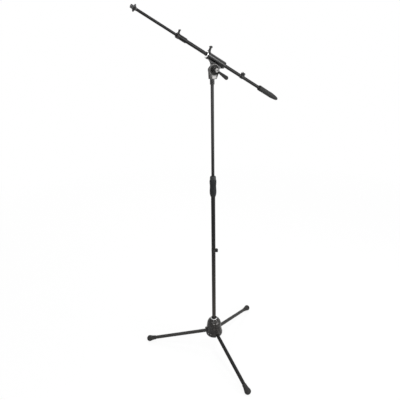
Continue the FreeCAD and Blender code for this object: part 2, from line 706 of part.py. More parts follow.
def make_holder():
    """Boom holder: split barrel, neck and pivot lug, with its liner, ring and pinch screw."""
    liner_r = f"({BOOM_R} + run_gap + bush_wall)"
    lug_half = "(fork_half - fibre_t - run_gap)"
    barrel = along(turned([
        ("0", "-holder_back"),
        ("holder_r - edge", "-holder_back"),
        ("holder_r", "edge - holder_back"),
        ("holder_r", "holder_front - flange_t - flange_step"),
        ("flange_r", "holder_front - flange_t"),
        ("flange_r", "holder_front - edge"),
        ("flange_r - edge", "holder_front"),
        ("0", "holder_front"),
    ]))
    neck = plate([
        ("0.6 * lug_disc_r", "0.8 * lug_disc_r"),
        ("0", "0.98 * lug_disc_r"),
        ("0", "-0.98 * lug_disc_r"),
        ("0.7 * lug_disc_r", "-lug_disc_r"),
        ("boom_offset - holder_r", "-neck_back"),
        ("boom_offset - 0.7 * holder_r", "-neck_back"),
        ("boom_offset - 0.7 * holder_r", "neck_front"),
        ("boom_offset - 0.95 * holder_r", "neck_front", "-neck_bulge"),
    ], f"-{lug_half}", lug_half)
    lug = cross_bar("lug_disc_r", f"-{lug_half}", lug_half)
    pinch_x = "(boom_offset - pinch_drop)"
    pinch = cross_bar("pinch_r", "-pinch_half", "pinch_half", x=pinch_x, z="-pinch_back")
    boss = riser("knob_boss_r", "boom_offset + holder_r - boss_sink",
                 "boom_offset + holder_r + knob_boss", "knob_seat")
    bore = seat(cylinder(liner_r, "4 * holder_back"), x="boom_offset", z="-2 * holder_back")
    knob_hole = riser("knob_shank_r", "boom_offset", "boom_offset + 2 * holder_r", "knob_seat")
    split = block("boom_offset", "split_w", "split_length", x="0", y="-split_w / 2",
                  z="-holder_back - lap")
    holder = trimmed(
        joined(barrel, neck, lug, pinch, boss),
        bore, knob_hole, split,
        cross_bar("pinch_screw_r", "-2 * pinch_half", "2 * pinch_half", x=pinch_x, z="-pinch_back"),
        cross_bar("pinch_head_r + slip_gap", "-2 * pinch_half", "-pinch_half", x=pinch_x, z="-pinch_back"),
        cross_bar("bolt_r + run_gap", "-disc_r", "disc_r"),
    )
    node(holder, "boom_holder", **on_boom())

    liner = joined(
        along(sleeve(f"{BOOM_R} + run_gap", f"{liner_r} - run_gap", "-holder_back",
                     "holder_front + holder_ring_t + lap")),
        along(turned([
            (f"{BOOM_R} + run_gap", "holder_front + holder_ring_t"),
            ("nose_r", "holder_front + holder_ring_t"),
            ("nose_r", "holder_front + holder_ring_t + nose_length - nose_edge"),
            ("nose_r - nose_edge", "holder_front + holder_ring_t + nose_length"),
            (f"{BOOM_R} + run_gap", "holder_front + holder_ring_t + nose_length"),
        ])),
    )
    liner = trimmed(liner, riser("knob_shank_r + run_gap", "boom_offset", "boom_offset + 2 * holder_r",
                                 "knob_seat"))
    node(liner, "boom_holder_liner", **on_boom())

    ring = turned([
        (liner_r, "holder_front"),
        ("holder_ring_r", "holder_front", "ring_face_bulge"),
        ("holder_ring_r", "holder_front + holder_ring_t"),
        (liner_r, "holder_front + holder_ring_t"),
    ])
    node(ring, "boom_holder_ring", **boom_axis())

    screw = joined(
        cross_bar("pinch_screw_r - run_gap", "-pinch_half", "pinch_half + edge", x=pinch_x,
                  z="-pinch_back"),
        cross_bar("pinch_head_r", "-pinch_half - pinch_head", "-pinch_half", x=pinch_x, z="-pinch_back"),
    )
    node(screw, "holder_pinch_screw", **on_boom())


def make_knob(label, across, surface, seat_z, boss, shank_r, height, bar, bar_r):
    """A thumb screw across the boom: a steel shank and a moulded head, its grip a short cross bar."""
    tip = f"boom_offset + {across} + tip_gap"
    base = f"boom_offset + {surface} + {boss} + slip_gap"
    top = f"({base} + {height} - {bar_r})"
    socket_r = f"{shank_r} - run_gap"
    shank = rod(socket_r, tip, f"{base} + 0.45 * {height}")
    node(shank, f"{label}_shank", **on_boom(along=seat_z, tilt="0"))
    stem = turned([
        ("0", "0"),
        (f"{shank_r} + stem_flare", "0"),
        (f"{shank_r} + stem_top_flare", f"{height} - {bar_r}"),
        ("0", f"{height} - {bar_r}"),
    ])
    seat(stem, x=base, z=seat_z, pitch="90")
    wing = cross_bar(bar_r, f"-{bar} / 2", f"{bar} / 2", x=top, z=seat_z)
    head = trimmed(joined(stem, wing), riser(socket_r, "0", f"{base} + 0.45 * {height}", seat_z))
    node(head, f"{label}_head", **on_boom())


def make_boom():
    """Outer boom tube, clamp with bush, inner rod with guide, and the counterweight."""
    bore_r = f"{BOOM_R} - boom_tube_wall"
    node(sleeve(bore_r, BOOM_R, "-boom_back", "boom_front"), "boom_tube", **boom_axis())

    bush_r = f"({ROD_R} + run_gap + clamp_bush_wall)"
    body = turned([
        (BOOM_R, "clamp_back"),
        ("clamp_r - fine_edge", "clamp_back"),
        ("clamp_r", "clamp_back + fine_edge"),
        ("clamp_r", "clamp_front - clamp_collar - edge"),
        ("clamp_collar_r", "clamp_front - clamp_collar"),
        ("clamp_collar_r", "clamp_front - edge"),
        ("clamp_collar_r - edge", "clamp_front"),
        (bush_r, "clamp_front"),
        (bush_r, "boom_front"),
        (BOOM_R, "boom_front"),
    ])
    clamp = trimmed(
        joined(along(body), riser("clamp_boss_r", "boom_offset + clamp_collar_r - clamp_boss_sink",
                                  "boom_offset + clamp_collar_r + clamp_boss", "clamp_knob_seat")),
        seat(cylinder(bush_r, "clamp_front - boom_front", x="boom_offset", z="boom_front")),
        riser("clamp_shank_r", "boom_offset", "boom_offset + 2 * clamp_collar_r", "clamp_knob_seat"),
    )
    node(clamp, "boom_clamp", **on_boom())
    bush = trimmed(
        along(sleeve(f"{ROD_R} + run_gap", f"{bush_r} - run_gap", "boom_front + run_gap", "clamp_front")),
        riser("clamp_shank_r + run_gap", "boom_offset", "boom_offset + 2 * clamp_collar_r",
              "clamp_knob_seat"),
    )
    node(bush, "boom_clamp_bush", **on_boom())

    node(sleeve(f"{ROD_R} - rod_wall", ROD_R, "rod_back", "rod_front"), "boom_rod", **boom_axis())
    guide = sleeve(ROD_R, f"{bore_r} - run_gap", "rod_back", "rod_back + rod_guide")
    node(guide, "boom_rod_guide", **boom_axis())


def boom_axis(along="0"):
    """A seat on the boom's own axis."""
    return on_boom("boom_offset", along)


def make_mic_end():
    """Microphone thread on the rod's end, and its winged lock nut."""
    thread_start = "thread_tip - thread_length"
    stud = turned([
        (ROD_R, "thread_back"),
        ("thread_neck_r", "thread_back"),
        ("thread_neck_r", thread_start),
        ("thread_r", thread_start),
        ("thread_r", "thread_tip - edge"),
        ("thread_r - edge", "thread_tip"),
        ("0", "thread_tip"),
        ("0", "rod_front"),
        (ROD_R, "rod_front"),
    ])
    node(stud, "mic_thread", **boom_axis())
    front = "(mic_nut_back + mic_nut_t)"
    disc = turned([
        ("thread_neck_r + run_gap", "mic_nut_back"),
        ("mic_nut_r - fine_edge", "mic_nut_back"),
        ("mic_nut_r", "mic_nut_back + fine_edge"),
        ("mic_nut_r", f"{front} - fine_edge"),
        ("mic_nut_r - fine_edge", front),
        ("thread_neck_r + run_gap", front),
    ])
    wings = block("2 * mic_wing_reach", "mic_wing_t", "mic_nut_t - edge", x="-mic_wing_reach",
                  y="-mic_wing_t / 2", z="mic_nut_back + edge / 2")
    hole = cylinder("thread_neck_r + run_gap", "4 * mic_nut_t", z="mic_nut_back - mic_nut_t")
    node(trimmed(joined(disc, wings), hole), "mic_lock_nut", **boom_axis())


def make_counterweight():
    """Rubber-covered counterweight: a steel slug in a sleeve over the boom's tail."""
    def back(distance):
        return f"-weight_front - {distance}"

    tail = "-weight_back"
    cover = turned([
        (BOOM_R, back("0")),
        (BOOM_R, "-boom_back"),
        ("slug_r", "-boom_back"),
        ("slug_r", "-boom_back - slug_length"),
        ("0", "-boom_back - slug_length"),
        ("0", tail),
        ("weight_tip_r", tail, "weight_tip_bulge"),
        ("weight_belly_r", back("weight_belly"), "-weight_side_dip"),
        ("weight_waist_r", back("weight_waist"), "-weight_side_dip"),
        ("weight_shoulder_r", back("weight_shoulder"), "weight_shoulder_bulge"),
        ("weight_mouth_r", back("0")),
    ])
    node(cover, "counterweight_cover", **boom_axis())
    slug = rod("slug_r", "-boom_back - slug_length", "-boom_back")
    node(slug, "counterweight_slug", **boom_axis())


def clip(tube_r):
    """A snap-on cable clip about Z: a split ring for the tube and an open loop for the cable, along X."""
    inner = f"({tube_r} + run_gap)"
    outer = f"({tube_r} + run_gap + clip_wall)"
    loop_x = f"({outer} + clip_web + loop_r)"
    loop_outer = "(loop_r + clip_wall)"
    body = joined(
        cylinder(outer, "clip_width"),
        cylinder(loop_outer, "clip_width", x=loop_x),
        block("clip_web + 2 * clip_wall", "2 * clip_wall", "clip_width", x=f"{outer} - clip_wall / 2",
              y="-clip_wall"),
    )
    return trimmed(
        body,
        cylinder(inner, "2 * clip_width", z="-clip_width / 2"),
        cylinder("loop_r", "2 * clip_width", x=loop_x, z="-clip_width / 2"),
        block(f"2 * {outer}", f"1.3 * {inner}", "2 * clip_width", x=f"-2.5 * {outer}", y=f"-0.65 * {inner}",
              z="-clip_width / 2"),
        block("4 * clip_wall", "clip_mouth", "2 * clip_width", x=f"{loop_x} + loop_r - 2 * clip_wall",
              y="0", z="-clip_width / 2"),
    )


def make_clips():
    """One cable clip on the lower mast tube and one on the boom tube."""
    node(clip(LOWER_R), "mast_cable_clip", **on_mast("mast_clip_z - clip_width / 2", "mast_clip_turn"))
    node(clip(BOOM_R), "boom_cable_clip", **boom_axis("-boom_clip_at - clip_width / 2"))


def save_parts():
    """Checks every object and writes each piece to its own file."""
    doc.recompute()
    for obj in doc.Objects:
        if "Invalid" in obj.State or "Error" in obj.State:
            raise ValueError(f"{obj.Label} failed: {obj.State}")
    os.makedirs("parts", exist_ok=True)
    for piece in nodes:
        shape = piece.Shape
        if shape.isNull() or not shape.isValid() or not shape.Solids:
            raise ValueError(f"{piece.Label} is not a valid solid")
        shape.exportStep(os.path.join("parts", f"{piece.Label}.step"))
        print(piece.Label, len(shape.Solids), round(shape.Volume, 1))


make_hub()
for leg in range(LEG_COUNT):
    make_leg(leg)
make_lower_mast()
make_clutch()
make_upper_mast()
make_bracket()
make_handle()
make_holder()
make_knob("boom_lock_screw", BOOM_R, "holder_r", "knob_seat", "knob_boss", "knob_shank_r",
          "knob_height", "knob_bar", "knob_bar_r")
make_boom()
make_knob("rod_lock_screw", ROD_R, "clamp_collar_r", "clamp_knob_seat", "clamp_boss",
          "clamp_shank_r", "clamp_knob_height", "clamp_bar", "clamp_bar_r")
make_mic_end()
make_counterweight()
make_clips()
save_parts()
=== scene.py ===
import json
import math
import bmesh
import bpy
from mathutils import Matrix, Vector
from mathutils.bvhtree import BVHTree


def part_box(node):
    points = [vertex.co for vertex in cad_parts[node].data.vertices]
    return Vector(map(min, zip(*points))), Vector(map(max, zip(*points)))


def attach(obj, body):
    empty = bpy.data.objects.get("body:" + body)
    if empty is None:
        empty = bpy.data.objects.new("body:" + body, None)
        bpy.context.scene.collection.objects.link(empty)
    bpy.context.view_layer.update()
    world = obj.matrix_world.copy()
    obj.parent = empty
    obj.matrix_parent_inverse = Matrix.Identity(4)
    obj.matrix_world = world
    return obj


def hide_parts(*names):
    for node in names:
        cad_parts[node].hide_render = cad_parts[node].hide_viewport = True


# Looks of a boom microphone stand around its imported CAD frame. Lengths are metres, mm turns millimetres into them.

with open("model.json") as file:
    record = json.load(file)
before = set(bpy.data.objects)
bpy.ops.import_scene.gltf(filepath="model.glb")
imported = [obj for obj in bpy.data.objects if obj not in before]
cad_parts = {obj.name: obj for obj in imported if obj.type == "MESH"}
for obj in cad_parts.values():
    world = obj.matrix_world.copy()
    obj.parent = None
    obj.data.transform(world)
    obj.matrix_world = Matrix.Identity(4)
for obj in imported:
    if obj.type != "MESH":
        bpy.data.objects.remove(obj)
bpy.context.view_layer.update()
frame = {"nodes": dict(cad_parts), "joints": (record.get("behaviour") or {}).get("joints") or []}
cadNodes = frame["nodes"]
joints = {joint["name"]: joint for joint in frame["joints"]}
mm = 0.001


# seats: where the mast, the boom, the handle and each leg are
def seatOf(origin, xAxis, zAxis):
    seat = Matrix((xAxis, zAxis.cross(xAxis), zAxis)).transposed().to_4x4()
    seat.translation = origin
    return seat


def jointAt(name):
    return Vector(joints[name]["pos_m"])


def jointAlong(name):
    return Vector(joints[name]["axis"]).normalized()


layout = {
    "pinReach": 31 * mm,  # from the mast to a leg's hinge, along the leg
    "legDip": math.radians(13.8),
    "crownHeight": 83 * mm,  # top of the hub above the meeting point of the legs
}
mastAxis = jointAt("clutch_twist")
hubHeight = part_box("hub_casting")[1].z - layout["crownHeight"]
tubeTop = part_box("lower_mast_tube")[1].z
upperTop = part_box("upper_mast_tube")[1].z
tiltPivot = jointAt("boom_tilt")
boomOut = jointAlong("boom_slide")  # towards the microphone
boomUp = jointAlong("boom_screw_turn")  # across the boom, out of its top
boomOffset = 46.4 * mm  # from the pivot to the boom's axis


def mastSeat(height):
    return Matrix.Translation((mastAxis.x, mastAxis.y, height))


def boomSeat(across=boomOffset, along=0.0):
    return seatOf(tiltPivot + boomUp * across + boomOut * along, boomUp, boomOut)


def legSeat(number):
    hinge, pin = jointAlong(f"leg_{number}_fold"), jointAt(f"leg_{number}_fold")
    dip = layout["legDip"]
    out = Vector((hinge.y * math.cos(dip), -hinge.x * math.cos(dip), -math.sin(dip)))
    return seatOf(pin - out * layout["pinReach"], -hinge.cross(out), out)


def acrossSeat(y, turn=0.0):
    seat = Matrix.Translation(tiltPivot + Vector((0, y, 0)))
    return seat @ Matrix.Rotation(turn, 4, "Y") @ Matrix.Rotation(math.radians(90), 4, "X")


# finishes: short helpers for material nodes, then the look of each finish
def newFinish(name, **sockets):
    material = bpy.data.materials.new(name)
    material.use_nodes = True
    shader = material.node_tree.nodes["Principled BSDF"]
    for socket, value in sockets.items():
        shader.inputs[socket.replace("_", " ")].default_value = value
    return material, shader


def grey(level, warmth=0.0):
    return (level * (1 + warmth), level, level * (1 - warmth), 1.0)


def addNode(material, kind, **values):
    node = material.node_tree.nodes.new(kind)
    for key, value in values.items():
        if hasattr(node, key):
            setattr(node, key, value)
        else:
            node.inputs[key.replace("_", " ")].default_value = value
    return node


def link(material, source, target):
    material.node_tree.links.new(source, target)


def surfaceCoords(material, stretch=(1, 1, 1), turn=(0, 0, 0)):
    coords = addNode(material, "ShaderNodeTexCoord")
    mapping = addNode(material, "ShaderNodeMapping", Scale=stretch, Rotation=turn)
    link(material, coords.outputs["Object"], mapping.inputs["Vector"])
    return mapping.outputs["Vector"]


def noiseOn(material, coords, scale, detail=3.0, roughness=0.55):
    noise = addNode(material, "ShaderNodeTexNoise", Scale=scale, Detail=detail, Roughness=roughness)
    link(material, coords, noise.inputs["Vector"])
    return noise.outputs["Fac"]


def cellsOn(material, coords, scale):
    cells = addNode(material, "ShaderNodeTexVoronoi", feature="SMOOTH_F1", Scale=scale, Smoothness=0.4)
    link(material, coords, cells.inputs["Vector"])
    return cells.outputs["Distance"]


def rampOn(material, factor, *stops):
    ramp = addNode(material, "ShaderNodeValToRGB")
    marks = ramp.color_ramp.elements
    while len(marks) < len(stops):
        marks.new(0.5)
    for mark, (place, shade) in zip(marks, stops):
        mark.position = place
        mark.color = shade
    link(material, factor, ramp.inputs["Fac"])
    return ramp.outputs["Color"]


def mixOn(material, factor, first, second, way="MIX"):
    mix = addNode(material, "ShaderNodeMix", data_type="RGBA", blend_type=way)
    for socket, value in zip((mix.inputs[0], mix.inputs[6], mix.inputs[7]), (factor, first, second)):
        if isinstance(value, (tuple, float)):
            socket.default_value = value
        else:
            link(material, value, socket)
    return mix.outputs[2]


def rangeOn(material, factor, low, high, fromLow=0.3, fromHigh=0.7):
    span = addNode(material, "ShaderNodeMapRange")
    for place, value in zip((1, 2, 3, 4), (fromLow, fromHigh, low, high)):
        span.inputs[place].default_value = value
    link(material, factor, span.inputs["Value"])
    return span.outputs["Result"]


def sumOn(material, first, second, way="ADD"):
    total = addNode(material, "ShaderNodeMath", operation=way)
    for socket, value in zip(total.inputs, (first, second)):
        if isinstance(value, float):
            socket.default_value = value
        else:
            link(material, value, socket)
    return total.outputs[0]


def bumpOn(material, height, strength, distance, under=None):
    bump = addNode(material, "ShaderNodeBump", Strength=strength, Distance=distance)
    link(material, height, bump.inputs["Height"])
    if under is not None:
        link(material, under, bump.inputs["Normal"])
    return bump.outputs["Normal"]


def heightOn(material, low, high):  # 0 to 1 between two heights of the stand
    coords = addNode(material, "ShaderNodeTexCoord")
    axes = addNode(material, "ShaderNodeSeparateXYZ")
    link(material, coords.outputs["Object"], axes.inputs[0])
    return rangeOn(material, axes.outputs["Z"], 0.0, 1.0, low, high)


surfaceLook = {
    "darkStop": 0.30, "lightStop": 0.70,  # where in the noise the darker and the lighter tone sit
    "patchDetail": 4, "fineDetail": 2, "fineGrain": 2.7,  # the finest relief is that much finer than the grain
    # darker tone of the painted light by height, as a share of its lighter one
    "paintedLightDarkShare": 0.8,
    "speckleStop": 0.25, "speckle": 0.75, "speckleShare": 0.9,
    "scratchStretch": (1.0, 1.0, 0.12), "scratchTurn": (0.35, 0.8, 0.2), "scratchFine": 14,
    "scratchFrom": 0.78, "scratchTo": 0.84, "scratchShare": 0.5,
    "rubbedFrom": 0.52, "rubbedTo": 0.60, "rubbedLeast": 0.2, "rubbedMost": 0.9,
    # painted shade in concave creases: how much, over which pointiness, and how dark
    "creaseShadeShare": 0.85, "creaseShadeFrom": 0.45, "creaseShadeTo": 0.495, "creaseShadeTone": 0.4,
    "dustCoarse": 0.45, "dustShare": 0.35, "dustFrom": 0.52, "dustTo": 0.80, "dustTone": 1.6,
    "dustWarmth": 0.06, "dustRough": 0.25,
    "streakDetail": 5, "streakRough": 0.7,  # noise of the scratches and the dust
    "smoother": -0.03, "rougher": 0.05,
    "patchRelief": 0.6, "patchDepth": 0.5 * mm, "grainDepth": 0.15, "fineRelief": 0.5, "fineDepth": 0.05 * mm,
}


def makeFinish(name, look):
    every = surfaceLook
    material, shader = newFinish(name, Metallic=look.get("metal", 0.0), Specular_IOR_Level=look["gloss"])
    coords = surfaceCoords(material)
    dark, light, warmth = look["tone"]
    darkStop, lightStop = every["darkStop"], every["lightStop"]
    patches = noiseOn(material, coords, look["patch"], every["patchDetail"])
    grainCoords = surfaceCoords(material, look.get("stretch", (1, 1, 1)))
    grain = (cellsOn if look.get("pebbled") else noiseOn)(material, grainCoords, look["grain"])
    fine = noiseOn(material, coords, look["grain"] * every["fineGrain"], every["fineDetail"])
    tone = rampOn(material, patches, (darkStop, grey(dark, warmth)), (lightStop, grey(light, warmth)))
    if "paintedLightByHeight" in look:  # painted light and shade along the height: the tone lower down the piece, and the heights between which it changes
        low, high, paintedLowTone, paintedLowWarmth = look["paintedLightByHeight"]
        paintedLowLight = rampOn(material, patches, (darkStop, grey(paintedLowTone * every["paintedLightDarkShare"], paintedLowWarmth)),
                          (lightStop, grey(paintedLowTone, paintedLowWarmth)))
        tone = mixOn(material, heightOn(material, low, high), paintedLowLight, tone)
    speckle = rampOn(material, grain, (every["speckleStop"], grey(look.get("speckle", every["speckle"]))),
                     (lightStop, grey(1.0)))
    tone = mixOn(material, every["speckleShare"], tone, speckle, "MULTIPLY")
    scratchCoords = surfaceCoords(material, every["scratchStretch"], every["scratchTurn"])
    scratches = noiseOn(material, scratchCoords, look["patch"] * every["scratchFine"], every["streakDetail"],
                        every["streakRough"])
    scratched = rangeOn(material, scratches, 0.0, every["scratchShare"], every["scratchFrom"] - look["worn"],
                        every["scratchTo"] - look["worn"])
    tone = mixOn(material, scratched, tone, grey(look["scuff"], warmth))
    if "edge" in look:  # how bright the worn edges get; the creases beside them get painted shade, darker in the colour
        shape = addNode(material, "ShaderNodeNewGeometry")
        rubbed = rangeOn(material, shape.outputs["Pointiness"], 0.0, 1.0, every["rubbedFrom"], every["rubbedTo"])
        patchy = rangeOn(material, fine, every["rubbedLeast"], every["rubbedMost"])
        rubbed = sumOn(material, rubbed, patchy, "MULTIPLY")
        tone = mixOn(material, rubbed, tone, grey(look["edge"], warmth))
        # painted shade: concave creases are darkened in the colour, where shade would fall
        paintedCreaseShade = rangeOn(material, shape.outputs["Pointiness"], every["creaseShadeShare"], 0.0, every["creaseShadeFrom"],
                          every["creaseShadeTo"])
        tone = mixOn(material, paintedCreaseShade, tone, grey(dark * every["creaseShadeTone"], warmth))
    dustNoise = noiseOn(material, coords, look["patch"] * every["dustCoarse"], every["streakDetail"],
                        every["streakRough"])
    dust = rangeOn(material, dustNoise, 0.0, every["dustShare"], every["dustFrom"], every["dustTo"])
    dustShade = grey(look.get("dust", light * every["dustTone"]), every["dustWarmth"])
    tone = mixOn(material, dust, tone, dustShade)
    link(material, tone, shader.inputs["Base Color"])
    smooth, rough = look["rough"]
    roughness = sumOn(material, rangeOn(material, patches, smooth, rough),
                      rangeOn(material, fine, every["smoother"], every["rougher"]))
    dustRough = sumOn(material, dust, every["dustRough"], "MULTIPLY")
    link(material, sumOn(material, roughness, dustRough), shader.inputs["Roughness"])
    hills = bumpOn(material, patches, look["relief"] * every["patchRelief"], every["patchDepth"])
    hills = bumpOn(material, grain, look["relief"], look.get("depth", every["grainDepth"]) * mm, hills)
    hills = bumpOn(material, fine, look["relief"] * every["fineRelief"], every["fineDepth"], hills)
    link(material, hills, shader.inputs["Normal"])
    finishes[name] = material


finishes = {}
finishLooks = {
    "hubBlack": {"tone": (0.0005, 0.045, 0.10), "patch": 150, "pebbled": True, "grain": 190, "relief": 0.85,
                 "depth": 1.1, "rough": (0.17, 0.30), "gloss": 0.26, "scuff": 0.10, "worn": 0.12, "edge": 0.10,
                 "speckle": 0.05, "dust": 0.02},
    "cuffBlack": {"tone": (0.001, 0.004, 0.05), "patch": 90, "grain": 1500, "relief": 0.20, "rough": (0.40, 0.55),
                  "gloss": 0.16, "scuff": 0.04, "worn": 0.04, "dust": 0.01},
    # bare metal on the hinge pin caps; on the two bosses of the black casting it is a painted highlight
    "hubMetalAndPaintedHighlight": {"tone": (0.20, 0.30, 0.03), "patch": 90, "grain": 500, "relief": 0.20, "rough": (0.30, 0.42),
                "gloss": 0.4, "metal": 0.6, "scuff": 0.20, "worn": 0.10, "edge": 0.5},
    "holderBlack": {"tone": (0.0005, 0.002, 0.05), "patch": 40, "grain": 1600, "relief": 0.03,
                    "rough": (0.26, 0.31), "gloss": 0.38, "scuff": 0.02, "worn": 0.02, "edge": 0.02, "dust": 0.003},
    "castBlack": {"tone": (0.001, 0.004, 0.05), "patch": 60, "pebbled": True, "grain": 900, "relief": 0.16,
                  "rough": (0.30, 0.40), "gloss": 0.16, "scuff": 0.04, "worn": 0.04, "edge": 0.04, "dust": 0.008},
    "linerBlack": {"tone": (0.004, 0.009, 0.0), "patch": 60, "grain": 1500, "relief": 0.10, "rough": (0.40, 0.52),
                   "gloss": 0.20, "scuff": 0.03, "worn": 0.03, "dust": 0.012},
    # painted light by height: the upper tube is painted darker lower down, and the lower tube lighter and warmer near
    # its foot
    "upperTubeBlack": {"tone": (0.022, 0.038, 0.0), "patch": 14, "grain": 2400, "relief": 0.10, "gloss": 0.24,
                       "rough": (0.36, 0.50), "scuff": 0.06, "worn": 0.04, "paintedLightByHeight": (1.05, 1.50, 0.003, 0.0)},
    "lowerTubeBlack": {"tone": (0.002, 0.005, 0.0), "patch": 12, "grain": 2400, "relief": 0.10, "gloss": 0.20,
                       "rough": (0.34, 0.48), "scuff": 0.05, "worn": 0.04, "paintedLightByHeight": (0.30, 0.72, 0.026, 0.15)},
    "boomBlack": {"tone": (0.004, 0.008, 0.02), "patch": 18, "grain": 2600, "relief": 0.10, "gloss": 0.18,
                  "rough": (0.32, 0.46), "scuff": 0.08, "worn": 0.05},
    # one black leg tube in two copies: the side legs are painted lighter and warmer and the front leg darker, as the
    # light falls on them
    "sideLegLitTone": {"tone": (0.012, 0.023, 0.05), "patch": 25, "grain": 2200, "relief": 0.12, "gloss": 0.26,
                     "rough": (0.38, 0.52), "scuff": 0.10, "worn": 0.06},
    "frontLegShadedTone": {"tone": (0.003, 0.008, 0.02), "patch": 25, "grain": 2200, "relief": 0.12, "gloss": 0.18,
                      "rough": (0.40, 0.54), "scuff": 0.08, "worn": 0.06},
    "knuckleBlack": {"tone": (0.008, 0.018, 0.04), "patch": 70, "pebbled": True, "grain": 1500, "relief": 0.25,
                     "rough": (0.40, 0.56), "gloss": 0.24, "scuff": 0.10, "worn": 0.08, "edge": 0.08},
    "mouldBlack": {"tone": (0.006, 0.014, 0.0), "patch": 90, "pebbled": True, "grain": 1800, "relief": 0.22,
                   "rough": (0.42, 0.56), "gloss": 0.24, "scuff": 0.06, "worn": 0.05, "edge": 0.03},
    "nutBlack": {"tone": (0.004, 0.010, 0.0), "patch": 70, "grain": 1500, "relief": 0.05, "rough": (0.20, 0.28),
                 "gloss": 0.5, "metal": 0.3, "scuff": 0.12, "worn": 0.06, "edge": 0.14},
    "leverGrey": {"tone": (0.001, 0.004, 0.03), "patch": 80, "pebbled": True, "grain": 1700, "relief": 0.22,
                  "rough": (0.46, 0.58), "gloss": 0.14, "scuff": 0.08, "worn": 0.05, "edge": 0.05},
    "gripBlack": {"tone": (0.007, 0.014, -0.14), "patch": 45, "pebbled": True, "grain": 1500, "relief": 0.30,
                  "rough": (0.55, 0.70), "gloss": 0.22, "scuff": 0.04, "worn": 0.04},
    "capGrey": {"tone": (0.018, 0.032, -0.06), "patch": 60, "grain": 1700, "relief": 0.20, "rough": (0.42, 0.56),
                "gloss": 0.26, "scuff": 0.10, "worn": 0.05, "edge": 0.07},
    "rubberGrey": {"tone": (0.016, 0.030, 0.02), "patch": 40, "pebbled": True, "grain": 1300, "relief": 0.40,
                   "rough": (0.66, 0.82), "gloss": 0.20, "scuff": 0.06, "worn": 0.08, "dust": 0.06},
    "weightGrey": {"tone": (0.013, 0.024, 0.0), "patch": 40, "pebbled": True, "grain": 1500, "relief": 0.35,
                   "rough": (0.60, 0.76), "gloss": 0.22, "scuff": 0.06, "worn": 0.06},
    "nylonDark": {"tone": (0.09, 0.13, 0.01), "patch": 50, "grain": 1200, "relief": 0.12, "rough": (0.40, 0.52),
                  "gloss": 0.45, "scuff": 0.22, "worn": 0.05},
    "fibreBrown": {"tone": (0.18, 0.30, 0.25), "patch": 120, "grain": 900, "stretch": (1, 1, 0.2), "relief": 0.5,
                   "rough": (0.78, 0.90), "gloss": 0.20, "scuff": 0.10, "worn": 0.10},
    "chrome": {"tone": (0.60, 0.76, 0.0), "patch": 40, "grain": 1500, "relief": 0.02, "rough": (0.08, 0.20),
               "gloss": 0.5, "metal": 1.0, "scuff": 0.45, "worn": 0.04, "speckle": 0.95, "dust": 0.5},
    "ringPolished": {"tone": (0.90, 0.98, 0.0), "patch": 40, "grain": 1500, "relief": 0.02, "rough": (0.10, 0.22),
                     "gloss": 0.5, "metal": 1.0, "scuff": 0.70, "worn": 0.02, "speckle": 0.97, "dust": 0.85},
    "steel": {"tone": (0.40, 0.55, 0.02), "patch": 60, "grain": 1600, "stretch": (1, 1, 0.2), "relief": 0.06,
              "rough": (0.24, 0.38), "gloss": 0.5, "metal": 1.0, "scuff": 0.25, "worn": 0.08, "dust": 0.3},
    "threadSteel": {"tone": (0.012, 0.030, 0.0), "patch": 80, "grain": 1600, "relief": 0.08, "rough": (0.30, 0.44),
                    "gloss": 0.4, "metal": 0.4, "scuff": 0.20, "worn": 0.08, "edge": 0.20},
    "bracketCast": {"tone": (0.012, 0.030, 0.04), "patch": 70, "pebbled": True, "grain": 800, "relief": 0.20,
                    "rough": (0.34, 0.46), "gloss": 0.4, "metal": 0.4, "scuff": 0.12, "worn": 0.06, "edge": 0.25,
                    "dust": 0.04},
    # a dark copy of the cast silver for the dish: painted shade
    "dishPaintedShade": {"tone": (0.006, 0.016, 0.04), "patch": 70, "pebbled": True, "grain": 900, "relief": 0.25,
                 "rough": (0.40, 0.55), "gloss": 0.2, "metal": 0.2, "scuff": 0.06, "worn": 0.04, "edge": 0.10,
                 "dust": 0.02},
    # a lighter, more metallic copy of the cast silver for the cheek's rim: painted sheen
    "rimPaintedSheen": {"tone": (0.05, 0.085, 0.02), "patch": 70, "grain": 1300, "relief": 0.10, "rough": (0.28, 0.40),
                  "gloss": 0.4, "metal": 0.7, "scuff": 0.25, "worn": 0.05, "edge": 0.4, "dust": 0.1},
    # a bright copy of the cast silver on the pad and on the handle's hub: painted highlight
    "bracketPaintedHighlight": {"tone": (0.09, 0.14, 0.02), "patch": 60, "grain": 1200, "relief": 0.08,
                      "rough": (0.30, 0.42), "gloss": 0.4, "metal": 0.8, "scuff": 0.35, "worn": 0.06,
                      "dust": 0.2},
    "boltDark": {"tone": (0.045, 0.080, 0.02), "patch": 60, "grain": 1400, "relief": 0.08, "rough": (0.32, 0.46),
                 "gloss": 0.4, "metal": 0.4, "scuff": 0.12, "worn": 0.06, "edge": 0.15},
}
for finishName, look in finishLooks.items():
    makeFinish(finishName, look)
print("finishes:", len(finishes))


# what every piece is made with
meshLook = {
    "seam": 0.5e-6, "weld": 2e-6, "sliver": 1e-6, "onPlane": 1e-6,  # how close counts as the same place, in metres
    "flat": math.radians(0.6),  # faces that turn less than this against each other become one
    "smoothTo": 38,
}


def closed(points):
    return points + points[:1]


def inMm(*points):
    return [(x * mm, z * mm) for x, z in points]


def lathe(profile, steps):
    # profile: radius and height of each corner of the section, in metres
    bm = bmesh.new()
    corners = [bm.verts.new((radius, 0, height)) for radius, height in profile]
    edges = [bm.edges.new(pair) for pair in zip(corners, corners[1:])]
    bmesh.ops.spin(bm, geom=corners + edges, cent=(0, 0, 0), axis=(0, 0, 1), angle=math.tau, steps=steps,
                   use_merge=True)
    bmesh.ops.remove_doubles(bm, verts=bm.verts, dist=meshLook["seam"])
    bmesh.ops.recalc_face_normals(bm, faces=bm.faces)
    return bm


